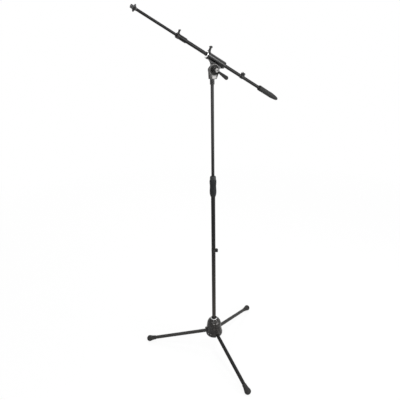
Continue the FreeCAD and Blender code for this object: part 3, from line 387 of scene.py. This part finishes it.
def soften(bm, bevel):
    # bevel: its width in mm, its segments, and from which angle in degrees an edge is rounded
    width, segments, sharp = bevel
    edges = [e for e in bm.edges if len(e.link_faces) == 2 and e.calc_face_angle() > math.radians(sharp)]
    bmesh.ops.bevel(bm, geom=edges, offset=width * mm, offset_type="OFFSET", segments=segments, profile=0.5,
                    affect="EDGES", clamp_overlap=True, loop_slide=True, material=-1)
    return bm


def copyOf(node):
    bm = bmesh.new()
    bm.from_mesh(cadNodes[node].data)
    bmesh.ops.remove_doubles(bm, verts=bm.verts, dist=meshLook["weld"])
    bmesh.ops.dissolve_degenerate(bm, edges=bm.edges, dist=meshLook["sliver"])
    bmesh.ops.dissolve_limit(bm, angle_limit=meshLook["flat"], verts=bm.verts, edges=bm.edges)
    return bm


def addTo(bm, other, seat=None):
    # puts the shape in other into bm, at a seat of its own
    if seat is not None:
        bmesh.ops.transform(other, matrix=seat, verts=other.verts)
    carrier = bpy.data.meshes.new("carrier")
    other.to_mesh(carrier)
    other.free()
    bm.from_mesh(carrier)
    bpy.data.meshes.remove(carrier)


def keepPiece(bm, name, body, slot, finish, *replaced, seat=None, smoothTo=meshLook["smoothTo"]):
    if seat is not None:
        bmesh.ops.transform(bm, matrix=seat, verts=bm.verts)
    pieceData = bpy.data.meshes.new(name)
    bm.to_mesh(pieceData)
    bm.free()
    for face in pieceData.polygons:  # the wide flat faces stay flat, so that rounded edges don't shade them
        face.use_smooth = len(face.vertices) <= 4
    pieceData.set_sharp_from_angle(angle=math.radians(smoothTo))
    pieceData.materials.append(finishes[finish])
    piece = bpy.data.objects.new(name, pieceData)
    bpy.context.scene.collection.objects.link(piece)
    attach(piece, body)
    if replaced:
        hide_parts(*replaced)


def fluteRound(bm, count, depth, low, high, radiusFrom, keen, ease):
    # hollows round the Z axis, fading out at both ends
    for v in bm.verts:
        radius = math.hypot(v.co.x, v.co.y)
        if radius < radiusFrom or not low < v.co.z < high:
            continue
        fadeIn = min(1.0, (v.co.z - low) / ease, (high - v.co.z) / ease)
        wave = (0.5 + 0.5 * math.cos(count * math.atan2(v.co.y, v.co.x))) ** keen
        shrink = 1 - depth * wave * fadeIn / radius
        v.co.x *= shrink
        v.co.y *= shrink


# mast: hub, ring, cuff, screw, clutch and lock nut
hubLook = {
    "bevel": (0.7, 2, 32),
    "outside": 80 * mm,  # far enough from the mast to be clear of the casting
}
hub = copyOf("hub_casting")
soften(hub, hubLook["bevel"])
hubSkin = BVHTree.FromBMesh(hub)
keepPiece(hub, "hubCasting", "base", "hub_black", "hubBlack", "hub_casting")


def onHub(start, towards):
    # a seat on the casting's skin, its Z pointing out of it
    point, out = hubSkin.ray_cast(start, towards)[:2]
    return seatOf(point, Vector((0, 0, 1)).cross(out).normalized(), out)


pinCapLook = {"rows": [(0, -1.2), (3.0, -1.2), (3.0, 0.5), (2.5, 1.1), (1.5, 1.4), (0, 1.5)], "steps": 32}
pinCaps = bmesh.new()
for number in (1, 2, 3):
    pinAxis, pinPlace = jointAlong(f"leg_{number}_fold"), jointAt(f"leg_{number}_fold")
    for side in (-1, 1):
        button = lathe(inMm(*pinCapLook["rows"]), pinCapLook["steps"])
        addTo(pinCaps, button, onHub(pinPlace + pinAxis * side * hubLook["outside"], -pinAxis * side))
keepPiece(pinCaps, "hingePinCaps", "base", "steel", "hubMetalAndPaintedHighlight")
# two small bosses on the hub's shoulder, given a bright metal finish as a painted highlight
bossLook = {
    "height": 64 * mm, "turns": (-125.7, -97.0), "oval": (1.25, 0.9, 1.0),
    "rows": [(0, -1.2), (3.0, -1.2), (3.0, 0.6), (2.4, 1.2), (0, 1.5)],
    "steps": 32,
}
bosses = bmesh.new()
for turn in bossLook["turns"]:
    out = Vector((math.cos(math.radians(turn)), math.sin(math.radians(turn)), 0))
    boss = lathe(inMm(*bossLook["rows"]), bossLook["steps"])
    bmesh.ops.scale(boss, vec=bossLook["oval"], verts=boss.verts)
    start = Vector((mastAxis.x, mastAxis.y, hubHeight + bossLook["height"])) + out * hubLook["outside"]
    addTo(bosses, boss, onHub(start, -out))
keepPiece(bosses, "hubBosses", "base", "hub_black", "hubMetalAndPaintedHighlight")

ringLook = {
    "rows": [(15.5, 0), (19.5, 0), (19.5, 2.1), (19.0, 3.2), (17.9, 4.0), (16.1, 4.0), (15.5, 3.4)],
    "steps": 96, "bevel": (0.25, 2, 20),
}
ring = lathe(closed(inMm(*ringLook["rows"])), ringLook["steps"])
keepPiece(soften(ring, ringLook["bevel"]), "hubRing", "base", "chrome", "chrome", "hub_chrome_ring",
          seat=mastSeat(hubHeight + layout["crownHeight"]))

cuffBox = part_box("mast_cuff")
cuffTall = (cuffBox[1].z - cuffBox[0].z) / mm
cuffLook = {
    "lowRows": [(11.2, 0.05), (17.2, 0.05), (17.2, 1.2), (15.6, 2.1)],
    "highRows": [(12.9, -1.0), (12.2, 0.0), (11.2, 0.0)],  # heights from the cuff's top
    "steps": 96, "bevel": (0.3, 2, 20),
}
cuffRows = cuffLook["lowRows"] + [(radius, cuffTall + height) for radius, height in cuffLook["highRows"]]
cuff = lathe(closed(inMm(*cuffRows)), cuffLook["steps"])
keepPiece(soften(cuff, cuffLook["bevel"]), "mastCuff", "base", "plastic_black", "cuffBlack", "mast_cuff",
          seat=mastSeat(cuffBox[0].z))

screwLook = {
    "headRadius": 6.5, "head": 6.0, "socket": 3.0, "socketDeep": 3.5, "shank": 3.95, "length": 49.6, "tip": 1.2,
    "tipRadius": 3.15, "flats": 6, "steps": 48, "bevel": (0.4, 2, 50),
    "top": -13.6,  # where the head meets its washer, from the meeting point of the legs
}
screw = lathe(inMm((0, -screwLook["head"] + screwLook["socketDeep"]),
                   (screwLook["socket"], -screwLook["head"] + screwLook["socketDeep"]),
                   (screwLook["socket"], -screwLook["head"]),
                   (screwLook["headRadius"], -screwLook["head"]),
                   (screwLook["headRadius"], 0), (screwLook["shank"], 0),
                   (screwLook["shank"], screwLook["length"] - screwLook["tip"]),
                   (screwLook["tipRadius"], screwLook["length"]), (0, screwLook["length"])), screwLook["steps"])
flat = math.tau / screwLook["flats"]
for v in screw.verts:  # the socket's wall moves onto its flats; the head's edge, further out, stays round
    radius = math.hypot(v.co.x, v.co.y)
    if 0 < radius < (screwLook["socket"] + screwLook["headRadius"]) / 2 * mm and v.co.z < 0:
        turn = (math.atan2(v.co.y, v.co.x) % flat) - flat / 2
        v.co.x *= math.cos(flat / 2) / math.cos(turn)
        v.co.y *= math.cos(flat / 2) / math.cos(turn)
keepPiece(soften(screw, screwLook["bevel"]), "mastScrew", "base", "steel", "steel", "mast_screw",
          seat=mastSeat(hubHeight + screwLook["top"] * mm))
washerLook = {"bevel": (0.3, 2, 28)}
washer = copyOf("mast_screw_washer")
keepPiece(soften(washer, washerLook["bevel"]), "mastScrewWasher", "base", "steel", "steel", "mast_screw_washer")
pinLook = {"bevel": (0.6, 3, 28)}
pins = copyOf("leg_hinge_pins")
keepPiece(soften(pins, pinLook["bevel"]), "hingePins", "base", "steel", "steel", "leg_hinge_pins")

sleeveLook = {
    "rows": [(11.0, -62.0), (11.9, -62.0), (12.9, -60.2), (14.1, -57.0), (14.9, -54.0), (15.2, -52.4),
             (15.2, -51.0), (14.5, -51.0), (14.5, -1.0), (11.0, -1.0)],
    "steps": 96, "bevel": (0.4, 2, 20),
}
sleeve = lathe(closed(inMm(*sleeveLook["rows"])), sleeveLook["steps"])
keepPiece(soften(sleeve, sleeveLook["bevel"]), "clutchSleeve", "base", "knuckle_black", "mouldBlack", "clutch_sleeve",
          seat=mastSeat(tubeTop))

gripLook = {
    "rows": [(14.6, -50.7), (15.6, -50.7), (16.6, -48.2), (17.3, -43.5), (17.75, -37.0), (17.85, -30.0),
             (17.55, -22.0), (17.0, -14.0), (16.6, -7.0), (16.5, -2.0), (16.7, 3.0), (17.3, 9.5), (17.9, 16.0),
             (18.1, 21.0), (17.9, 26.0), (17.2, 30.0), (16.3, 32.0), (11.8, 32.0), (11.8, 0.3), (14.6, -0.7)],
    "steps": 216, "flutes": 18, "fluteDepth": 1.05 * mm, "fluteLow": -46 * mm, "fluteHigh": 29 * mm,
    "fluteFrom": 15.2 * mm, "keen": 1.3, "ease": 5 * mm, "outside": 15 * mm, "longRow": 4 * mm,
}
grip = lathe(closed(inMm(*gripLook["rows"])), gripLook["steps"])
longEdges = [e for e in grip.edges if abs((e.verts[0].co - e.verts[1].co).z) > gripLook["longRow"]
             and min(v.co.xy.length for v in e.verts) > gripLook["outside"]]
bmesh.ops.subdivide_edges(grip, edges=longEdges, cuts=2)
fluteRound(grip, gripLook["flutes"], gripLook["fluteDepth"], gripLook["fluteLow"], gripLook["fluteHigh"],
           gripLook["fluteFrom"], gripLook["keen"], gripLook["ease"])
keepPiece(grip, "clutchGrip", "clutch", "grip_black", "gripBlack", "clutch_grip", seat=mastSeat(tubeTop))

capLook = {
    "rows": [(11.75, 24.5), (11.75, 32.0), (14.6, 32.0), (14.6, 34.5), (15.4, 34.5), (15.9, 35.0), (15.9, 36.6),
             (15.65, 37.0), (15.85, 37.5), (15.7, 43.0), (15.4, 46.5), (14.6, 49.2), (13.2, 51.0), (11.9, 51.5),
             (9.0, 51.5), (8.3, 50.9), (8.3, 24.5)],
    "steps": 96, "bevel": (0.25, 2, 25),
}
cap = lathe(closed(inMm(*capLook["rows"])), capLook["steps"])
keepPiece(soften(cap, capLook["bevel"]), "clutchCap", "clutch", "cap_grey", "capGrey", "clutch_cap",
          seat=mastSeat(tubeTop))

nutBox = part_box("fluted_lock_nut")
nutTall = (nutBox[1].z - upperTop) / mm
nutLook = {
    "lowRows": [(4.75, 0.05), (8.5, 0.05), (9.6, 0.9), (10.6, 2.2), (11.0, 3.6), (11.0, 5.0), (11.0, 8.0),
                (11.0, 11.0), (11.0, 14.0), (11.0, 17.0), (11.0, 20.0), (11.0, 23.0)],
    "highRows": [(10.7, -0.6), (10.0, 0.0), (4.75, 0.0)],  # heights from the nut's top
    "steps": 160, "flutes": 8, "fluteDepth": 1.6 * mm, "fluteLow": 3.0 * mm, "fluteHigh": 29 * mm,
    "fluteFrom": 9.3 * mm, "keen": 2.2, "ease": 3 * mm,
}
nutRows = nutLook["lowRows"] + [(radius, nutTall + height) for radius, height in nutLook["highRows"]]
nut = lathe(closed(inMm(*nutRows)), nutLook["steps"])
fluteRound(nut, nutLook["flutes"], nutLook["fluteDepth"], nutLook["fluteLow"], nutLook["fluteHigh"],
           nutLook["fluteFrom"], nutLook["keen"], nutLook["ease"])
keepPiece(nut, "lockNut", "lock_nut", "cast_silver", "nutBlack", "fluted_lock_nut", seat=mastSeat(upperTop))
studLook = {"bevel": (0.3, 2, 28)}
stud = copyOf("mast_top_stud")
keepPiece(soften(stud, studLook["bevel"]), "mastTopStud", "upper_mast", "steel", "steel", "mast_top_stud")
print("mast pieces are made")


# legs: their knuckles and foot caps
knuckleLook = {"bevel": (0.7, 3, 28)}
footLook = {
    "rows": [(10.05, 378.0), (11.9, 378.0), (12.35, 379.2), (12.35, 381.4), (11.9, 382.4), (12.2, 386.0),
             (12.9, 391.5), (14.0, 398.0), (15.3, 403.6), (16.5, 408.0), (17.3, 411.0), (17.9, 414.0), (18.0, 416.2),
             (17.45, 416.9), (17.4, 417.7), (17.85, 418.4), (17.4, 420.8), (16.65, 421.6), (16.4, 422.4),
             (16.6, 423.0), (15.2, 425.6), (12.8, 428.6), (9.2, 431.0), (4.8, 432.4), (0, 433.0)],
    "pocketRows": [(0, 414.0), (10.05, 414.0), (10.05, 378.0)],  # where the leg's tube goes in
    "steps": 96,
    "soleRim": 1.2 * mm,
}
for number in (1, 2, 3):
    knuckle = copyOf(f"leg_knuckle_{number}")
    keepPiece(soften(knuckle, knuckleLook["bevel"]), f"legKnuckle{number}", f"leg_{number}", "knuckle_black",
              "knuckleBlack", f"leg_knuckle_{number}")
    foot = lathe(inMm(*footLook["rows"], *footLook["pocketRows"]), footLook["steps"])
    bmesh.ops.transform(foot, matrix=legSeat(number), verts=foot.verts)
    cut = bmesh.ops.bisect_plane(foot, geom=foot.verts[:] + foot.edges[:] + foot.faces[:], plane_co=(0, 0, 0),
                                 plane_no=(0, 0, 1), dist=meshLook["onPlane"], clear_inner=True)
    rim = [item for item in cut["geom_cut"] if isinstance(item, bmesh.types.BMEdge)]
    sole = bmesh.ops.contextual_create(foot, geom=rim)["faces"]
    bmesh.ops.inset_region(foot, faces=sole, thickness=footLook["soleRim"], depth=0.0)
    keepPiece(foot, f"footCap{number}", f"leg_{number}", "rubber_grey", "rubberGrey", f"foot_cap_{number}")
print("leg pieces are made")


# tilt bracket and its handle
bracketLook = {
    "bevel": (0.9, 2, 32),
    "front": -15.0, "dish": -12.0,  # the cheek's front and the dish's floor, from the boom's plane
}
bracket = copyOf("tilt_bracket")
soften(bracket, bracketLook["bevel"])
keepPiece(bracket, "tiltBracket", "bracket", "cast_silver", "bracketCast", "tilt_bracket")
# rim ring of the front cheek, in a brighter copy of the cast finish: painted sheen
rimLook = {
    "rows": [(23.2, -0.3), (28.4, -0.3), (28.4, 0.3), (27.8, 0.9), (25.8, 1.3), (23.8, 0.9), (23.2, 0.3)],
    "steps": 120, "bevel": (0.25, 2, 20),
}
rimRing = lathe(closed(inMm(*rimLook["rows"])), rimLook["steps"])
keepPiece(soften(rimRing, rimLook["bevel"]), "bracketRimRing", "bracket", "cast_silver", "rimPaintedSheen",
          seat=acrossSeat(bracketLook["front"] * mm))
# a dark sheet with a rib, laid on the dish's floor: painted shade in the recess
dishLook = {
    "floorRows": [(11.6, -0.2), (22.9, -0.2), (22.9, 0.25), (11.6, 0.25)],
    "ribRows": [(15.0, 0.1), (18.4, 0.1), (18.2, 1.3), (16.7, 1.9), (15.2, 1.3)],
    "steps": 120, "bevel": (0.2, 2, 25),
}
dishShadeSheet = lathe(closed(inMm(*dishLook["floorRows"])), dishLook["steps"])
addTo(dishShadeSheet, lathe(closed(inMm(*dishLook["ribRows"])), dishLook["steps"]))
keepPiece(soften(dishShadeSheet, dishLook["bevel"]), "bracketDishShade", "bracket", "cast_silver", "dishPaintedShade",
          seat=acrossSeat(bracketLook["dish"] * mm))
bracketFoot = (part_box("tilt_bracket")[0].z - tiltPivot.z) / mm
# a raised plate on the cheek's lower front, made bright as a painted highlight
padLook = {"thick": 1.9, "round": 2.0, "left": -12.6, "right": 9.2, "low": bracketFoot + 0.9, "dish": 22.4,
           "columns": 32, "behind": 0.1, "bevel": (0.25, 2, 60), "smoothTo": 25}


def padLow(x):
    # the lower edge, with its two rounded corners
    short = max(0.0, padLook["round"] - min(x - padLook["left"], padLook["right"] - x))
    return padLook["low"] + padLook["round"] - math.sqrt(padLook["round"] ** 2 - short ** 2)


pad = bmesh.new()
padMid, padHalf = (padLook["right"] + padLook["left"]) / 2, (padLook["right"] - padLook["left"]) / 2
padColumns = []
for step in range(padLook["columns"] + 1):
    x = padMid - padHalf * math.cos(math.pi * step / padLook["columns"])
    ends = padLow(x), -math.sqrt(padLook["dish"] ** 2 - x ** 2)
    padColumns.append([pad.verts.new((x * mm, padLook["behind"] * mm, z * mm)) for z in ends])
for (low, high), (nextLow, nextHigh) in zip(padColumns, padColumns[1:]):
    pad.faces.new((low, nextLow, nextHigh, high))
raised = bmesh.ops.extrude_face_region(pad, geom=pad.faces[:])["geom"]
bmesh.ops.translate(pad, vec=(0, -padLook["thick"] * mm, 0),
                    verts=[v for v in raised if isinstance(v, bmesh.types.BMVert)])
bmesh.ops.recalc_face_normals(pad, faces=pad.faces)
keepPiece(soften(pad, padLook["bevel"]), "bracketHighlightPad", "bracket", "cast_silver", "bracketPaintedHighlight",
          smoothTo=padLook["smoothTo"],
          seat=Matrix.Translation(tiltPivot + Vector((0, bracketLook["front"] * mm, 0))))
boltLook = {"bevel": (0.5, 2, 25)}
bolt = copyOf("tilt_bolt")
keepPiece(soften(bolt, boltLook["bevel"]), "tiltBolt", "bracket", "steel", "boltDark", "tilt_bolt")

handleHubLook = {"bevel": (0.6, 3, 25)}
hubOfHandle = copyOf("tilt_handle_hub")
keepPiece(soften(hubOfHandle, handleHubLook["bevel"]), "handleHub", "handle", "cast_silver", "bracketPaintedHighlight",
          "tilt_handle_hub")
leverLook = {"bevel": (2.6, 4, 40)}
lever = copyOf("tilt_handle_lever")
keepPiece(soften(lever, leverLook["bevel"]), "handleLever", "handle", "plastic_black", "leverGrey",
          "tilt_handle_lever")
print("bracket and handle are made")


# boom holder, clamp, screws, clips and weight
mouthLook = {"along": 62.5, "tilt": math.radians(-14), "outer": 16.0, "inner": 8.4, "thick": 2.2, "crown": 0.5,
             "collar": 15.8, "collarBack": -9.0, "collarFront": 9.0, "slope": 1.6, "lift": 0.03, "steps": 120,
             "bevel": (0.3, 3, 15)}
mouthSeat = boomSeat(along=mouthLook["along"] * mm) @ Matrix.Rotation(mouthLook["tilt"], 4, "Y")


def cutAtMouth(bm):
    # cuts a piece across at the slanted plane of the mouth, whose upper side is further forward
    everything = bm.verts[:] + bm.edges[:] + bm.faces[:]
    cut = bmesh.ops.bisect_plane(bm, geom=everything, plane_co=mouthSeat.translation, plane_no=mouthSeat.col[2].xyz,
                                 dist=meshLook["onPlane"], clear_outer=True)
    rim = [item for item in cut["geom_cut"] if isinstance(item, bmesh.types.BMEdge) and item.is_boundary]
    bmesh.ops.triangle_fill(bm, edges=rim, use_beauty=True, use_dissolve=False)
    bmesh.ops.recalc_face_normals(bm, faces=bm.faces)
    return bm


holderLook = {"bevel": (0.8, 2, 32)}
holder = cutAtMouth(soften(copyOf("boom_holder"), holderLook["bevel"]))
keepPiece(holder, "boomHolder", "holder", "cast_black", "holderBlack", "boom_holder")
mouthCollar = lathe(closed(inMm((mouthLook["inner"], mouthLook["collarBack"]),
                                (mouthLook["collar"], mouthLook["collarBack"]),
                                (mouthLook["collar"], mouthLook["collarFront"]),
                                (mouthLook["inner"], mouthLook["collarFront"]))), mouthLook["steps"])
bmesh.ops.transform(mouthCollar, matrix=boomSeat(along=mouthLook["along"] * mm), verts=mouthCollar.verts)
keepPiece(cutAtMouth(mouthCollar), "boomHolderMouth", "holder", "cast_black", "holderBlack")
linerLook = {"bevel": (0.2, 2, 32)}
liner = cutAtMouth(soften(copyOf("boom_holder_liner"), linerLook["bevel"]))
keepPiece(liner, "boomHolderLiner", "holder", "nylon", "linerBlack", "boom_holder_liner")
mouthRing = lathe(closed(inMm((mouthLook["inner"], mouthLook["lift"]), (mouthLook["outer"], mouthLook["lift"]),
                              (mouthLook["outer"], mouthLook["thick"] - mouthLook["crown"]),
                              (mouthLook["outer"] - mouthLook["slope"], mouthLook["thick"]),
                              (mouthLook["inner"] + mouthLook["slope"], mouthLook["thick"]),
                              (mouthLook["inner"], mouthLook["thick"] - mouthLook["crown"]))), mouthLook["steps"])
keepPiece(soften(mouthRing, mouthLook["bevel"]), "boomHolderRing", "holder", "chrome", "ringPolished",
          "boom_holder_ring", seat=mouthSeat)
pinchLook = {"bevel": (0.4, 2, 32)}
pinch = copyOf("holder_pinch_screw")
keepPiece(soften(pinch, pinchLook["bevel"]), "pinchScrew", "holder", "steel", "mouldBlack", "holder_pinch_screw")
clampLook = {"bevel": (0.5, 2, 25)}
clampBody = copyOf("boom_clamp")
keepPiece(soften(clampBody, clampLook["bevel"]), "boomClamp", "boom", "cast_black", "castBlack", "boom_clamp")
knobLook = {
    "widen": {"boom": 1.28, "rod": 1.12},  # guesses; 1 gives the CAD's width
    "bevel": (0.9, 3, 30),
}
for label, body in (("boom", "boom_screw"), ("rod", "rod_screw")):
    head = soften(copyOf(f"{label}_lock_screw_head"), knobLook["bevel"])
    knobSeat = seatOf(jointAt(f"{body}_turn"), boomOut, boomUp)
    widen = knobLook["widen"][label]
    bmesh.ops.scale(head, vec=(widen, widen, 1.0), space=knobSeat.inverted(), verts=head.verts)
    keepPiece(head, f"{label}ScrewHead", body, "plastic_black", "mouldBlack", f"{label}_lock_screw_head")
screwBossLook = {
    "rows": [(0, 13.0), (8.2, 13.0), (8.2, 18.6), (6.4, 20.6), (5.6, 21.2), (0, 21.2)],
    "steps": 64, "bevel": (0.3, 2, 25),
}
boss = lathe(inMm(*screwBossLook["rows"]), screwBossLook["steps"])
keepPiece(soften(boss, screwBossLook["bevel"]), "boomScrewBoss", "holder", "cast_black", "holderBlack",
          seat=seatOf(jointAt("boom_screw_turn"), boomOut, boomUp))
clipLook = {"bevel": (0.4, 2, 32)}
for label, body in (("mast", "mast_clip"), ("boom", "boom_clip")):
    clip = copyOf(f"{label}_cable_clip")
    keepPiece(soften(clip, clipLook["bevel"]), f"{label}CableClip", body, "plastic_black", "mouldBlack",
              f"{label}_cable_clip")

weightLook = {
    "rows": [(0, 0), (3.0, 0), (5.2, 0.9), (7.0, 4.0), (8.5, 9.0), (9.8, 16.0), (11.0, 25.0), (12.1, 36.0),
             (12.9, 44.0), (13.4, 50.0), (13.35, 60.0), (13.2, 70.0), (13.05, 82.0), (13.0, 91.0), (13.1, 104.0),
             (13.3, 118.0), (13.45, 128.0), (13.45, 129.0), (13.0, 129.5), (13.0, 131.0), (13.5, 131.5),
             (13.6, 134.0), (13.15, 134.5), (13.15, 136.0), (13.7, 136.5), (13.75, 138.0), (13.4, 141.5),
             (12.6, 145.2), (11.9, 146.0), (8.0, 146.0), (8.0, 92.4), (10.4, 92.4), (10.4, 26.4), (0, 26.4)],
    "steps": 96, "back": -442.4,
}
weight = lathe(inMm(*weightLook["rows"]), weightLook["steps"])
keepPiece(weight, "counterweightCover", "boom", "rubber_grey", "weightGrey", "counterweight_cover",
          seat=boomSeat(along=weightLook["back"] * mm))


# microphone thread and its nut
threadLook = {
    "rows": [(6.0, 436.0), (7.1, 436.0), (7.7, 436.6), (7.7, 447.4), (7.35, 448.0), (7.35, 460.0), (6.8, 460.6),
             (3.4, 460.6), (2.9, 460.0), (2.9, 450.0), (0.0, 450.0), (0.0, 446.0), (6.0, 446.0), (6.0, 436.0)],
    "steps": 80,
    "root": 7.2, "crest": 7.94, "halfCrest": 0.12, "pitch": 25.4 / 27, "filled": 0.98,  # filled: share of the pitch
    "start": 448.2, "turns": 12, "stepsPerTurn": 40,
}
thread = lathe(inMm(*threadLook["rows"]), threadLook["steps"])
ridge = bmesh.new()
corners = [ridge.verts.new((radius * mm, 0, height * mm)) for radius, height in (
    (threadLook["root"], threadLook["start"]),
    (threadLook["crest"], threadLook["start"] + threadLook["pitch"] / 2 - threadLook["halfCrest"]),
    (threadLook["crest"], threadLook["start"] + threadLook["pitch"] / 2 + threadLook["halfCrest"]),
    (threadLook["root"], threadLook["start"] + threadLook["pitch"] * threadLook["filled"]))]
section = ridge.faces.new(corners)
bmesh.ops.spin(ridge, geom=[section], cent=(0, 0, 0), axis=(0, 0, 1), angle=math.tau * threadLook["turns"],
               steps=threadLook["stepsPerTurn"] * threadLook["turns"],
               dvec=(0, 0, threadLook["pitch"] / threadLook["stepsPerTurn"] * mm), use_merge=False)
bmesh.ops.recalc_face_normals(ridge, faces=ridge.faces)
addTo(thread, ridge)
keepPiece(thread, "micThread", "rod", "steel", "threadSteel", "mic_thread", seat=boomSeat())
micNutLook = {"bevel": (0.5, 2, 32)}
micNut = copyOf("mic_lock_nut")
keepPiece(soften(micNut, micNutLook["bevel"]), "micLockNut", "mic_nut", "steel", "mouldBlack", "mic_lock_nut")
print("boom pieces are made")


# finishes of the CAD pieces that stay
nodeFinishes = {
    "steel": ["counterweight_slug", "boom_lock_screw_shank", "rod_lock_screw_shank", "mast_foot_plug"],
    "nylonDark": ["clutch_collet", "upper_mast_guide", "boom_clamp_bush", "boom_rod_guide"],
    "lowerTubeBlack": ["lower_mast_tube"],
    "upperTubeBlack": ["upper_mast_tube"],
    "boomBlack": ["boom_tube", "boom_rod"],
    "sideLegLitTone": ["leg_tube_1", "leg_tube_2"],
    "frontLegShadedTone": ["leg_tube_3"],
    "fibreBrown": ["friction_discs"],
}
for finish, members in nodeFinishes.items():
    for member in members:
        meshData = cadNodes[member].data
        meshData.materials.clear()
        meshData.materials.append(finishes[finish])


# stage, light and camera
def addArea(name, place, target, size, power):
    lampData = bpy.data.lights.new(name, "AREA")
    lampData.shape, lampData.size, lampData.energy = "DISK", size, power
    lamp = bpy.data.objects.new(name, lampData)
    bpy.context.scene.collection.objects.link(lamp)
    lamp.location = place
    lamp.rotation_euler = (Vector(target) - Vector(place)).to_track_quat("-Z", "Y").to_euler()


studio = {
    "floorSize": 400.0,
    "floorTone": 0.86,
    "floorRough": 0.9,
    "worldTone": 0.85,
    "worldLight": 0.55,
    "floorGlow": 0.90,  # share of the floor's own white near the stand
    "glowFrom": 1.2,
    "glowTo": 4.0,  # past this distance the floor is plain white
    "lamps": {
        "keyLight": ((-2.6, -2.2, 3.4), (0, 0, 0.9), 1.6, 62),
        "sideLight": ((1.58, -2.46, 1.33), (-0.03, 0.05, 1.62), 1.5, 66),
        "topLight": ((0.9, -0.7, 3.9), (0, 0, 1.4), 1.2, 45),
        "backLight": ((0.6, 3.0, 3.0), (0, 0, 1.0), 1.8, 50),
    },
}
bm = bmesh.new()
bmesh.ops.create_grid(bm, x_segments=1, y_segments=1, size=studio["floorSize"] / 2)
floorData = bpy.data.meshes.new("studioFloor")
bm.to_mesh(floorData)
bm.free()
floor = bpy.data.objects.new("studioFloor", floorData)
bpy.context.scene.collection.objects.link(floor)


def whiteMix(material, lit, white, lastSocket, share=None):
    # what the camera, mirrors and glass see is white, by the share given; everything else sees the lit surface
    path = addNode(material, "ShaderNodeLightPath")
    seen = sumOn(material, path.outputs["Is Camera Ray"], path.outputs["Is Glossy Ray"], "MAXIMUM")
    seen = sumOn(material, seen, path.outputs["Is Transmission Ray"], "MAXIMUM")
    if share is not None:
        seen = sumOn(material, seen, share, "MULTIPLY")
    mixer = addNode(material, "ShaderNodeMixShader")
    link(material, seen, mixer.inputs[0])
    link(material, lit, mixer.inputs[1])
    link(material, white, mixer.inputs[2])
    link(material, mixer.outputs[0], lastSocket)


paperMaterial, paper = newFinish("floorPaper", Base_Color=grey(studio["floorTone"]),
                                 Roughness=studio["floorRough"])
glow = addNode(paperMaterial, "ShaderNodeEmission")
floorCoords = addNode(paperMaterial, "ShaderNodeTexCoord")
distance = addNode(paperMaterial, "ShaderNodeVectorMath", operation="LENGTH")
link(paperMaterial, floorCoords.outputs["Object"], distance.inputs[0])
glowShare = rangeOn(paperMaterial, distance.outputs["Value"], studio["floorGlow"], 1.0, studio["glowFrom"],
                    studio["glowTo"])
whiteMix(paperMaterial, paper.outputs[0], glow.outputs[0],
         paperMaterial.node_tree.nodes["Material Output"].inputs["Surface"], glowShare)
floorData.materials.append(paperMaterial)

scene = bpy.context.scene
world = bpy.data.worlds.new("studioWorld")
scene.world = world
world.use_nodes = True
around = world.node_tree.nodes["Background"]
around.inputs["Color"].default_value = grey(studio["worldTone"])
around.inputs["Strength"].default_value = studio["worldLight"]
white = addNode(world, "ShaderNodeBackground", Color=grey(1.0))
whiteMix(world, around.outputs[0], white.outputs[0], world.node_tree.nodes["World Output"].inputs["Surface"])
for name, (place, target, size, power) in studio["lamps"].items():
    addArea(name, place, target, size, power)

eye = {
    "place": (-1.07797, -1.496, 1.726),
    "look": (0.49169, 0.78639, -0.37394),
    "up": (0.21626, 0.30570, 0.92724),
    "lens": 34.965,
    "sensor": 36.0,
    "reach": 600.0,
}
look, up = Vector(eye["look"]).normalized(), Vector(eye["up"])
right = look.cross(up).normalized()
cameraData = bpy.data.cameras.new("standCamera")
cameraData.lens, cameraData.sensor_width = eye["lens"], eye["sensor"]
cameraData.clip_end = eye["reach"]
camera = bpy.data.objects.new("standCamera", cameraData)
scene.collection.objects.link(camera)
camera.matrix_world = seatOf(Vector(eye["place"]), right, -look)
scene.camera = camera
scene.view_settings.view_transform = "Standard"
print("stage, lamps and camera are set")
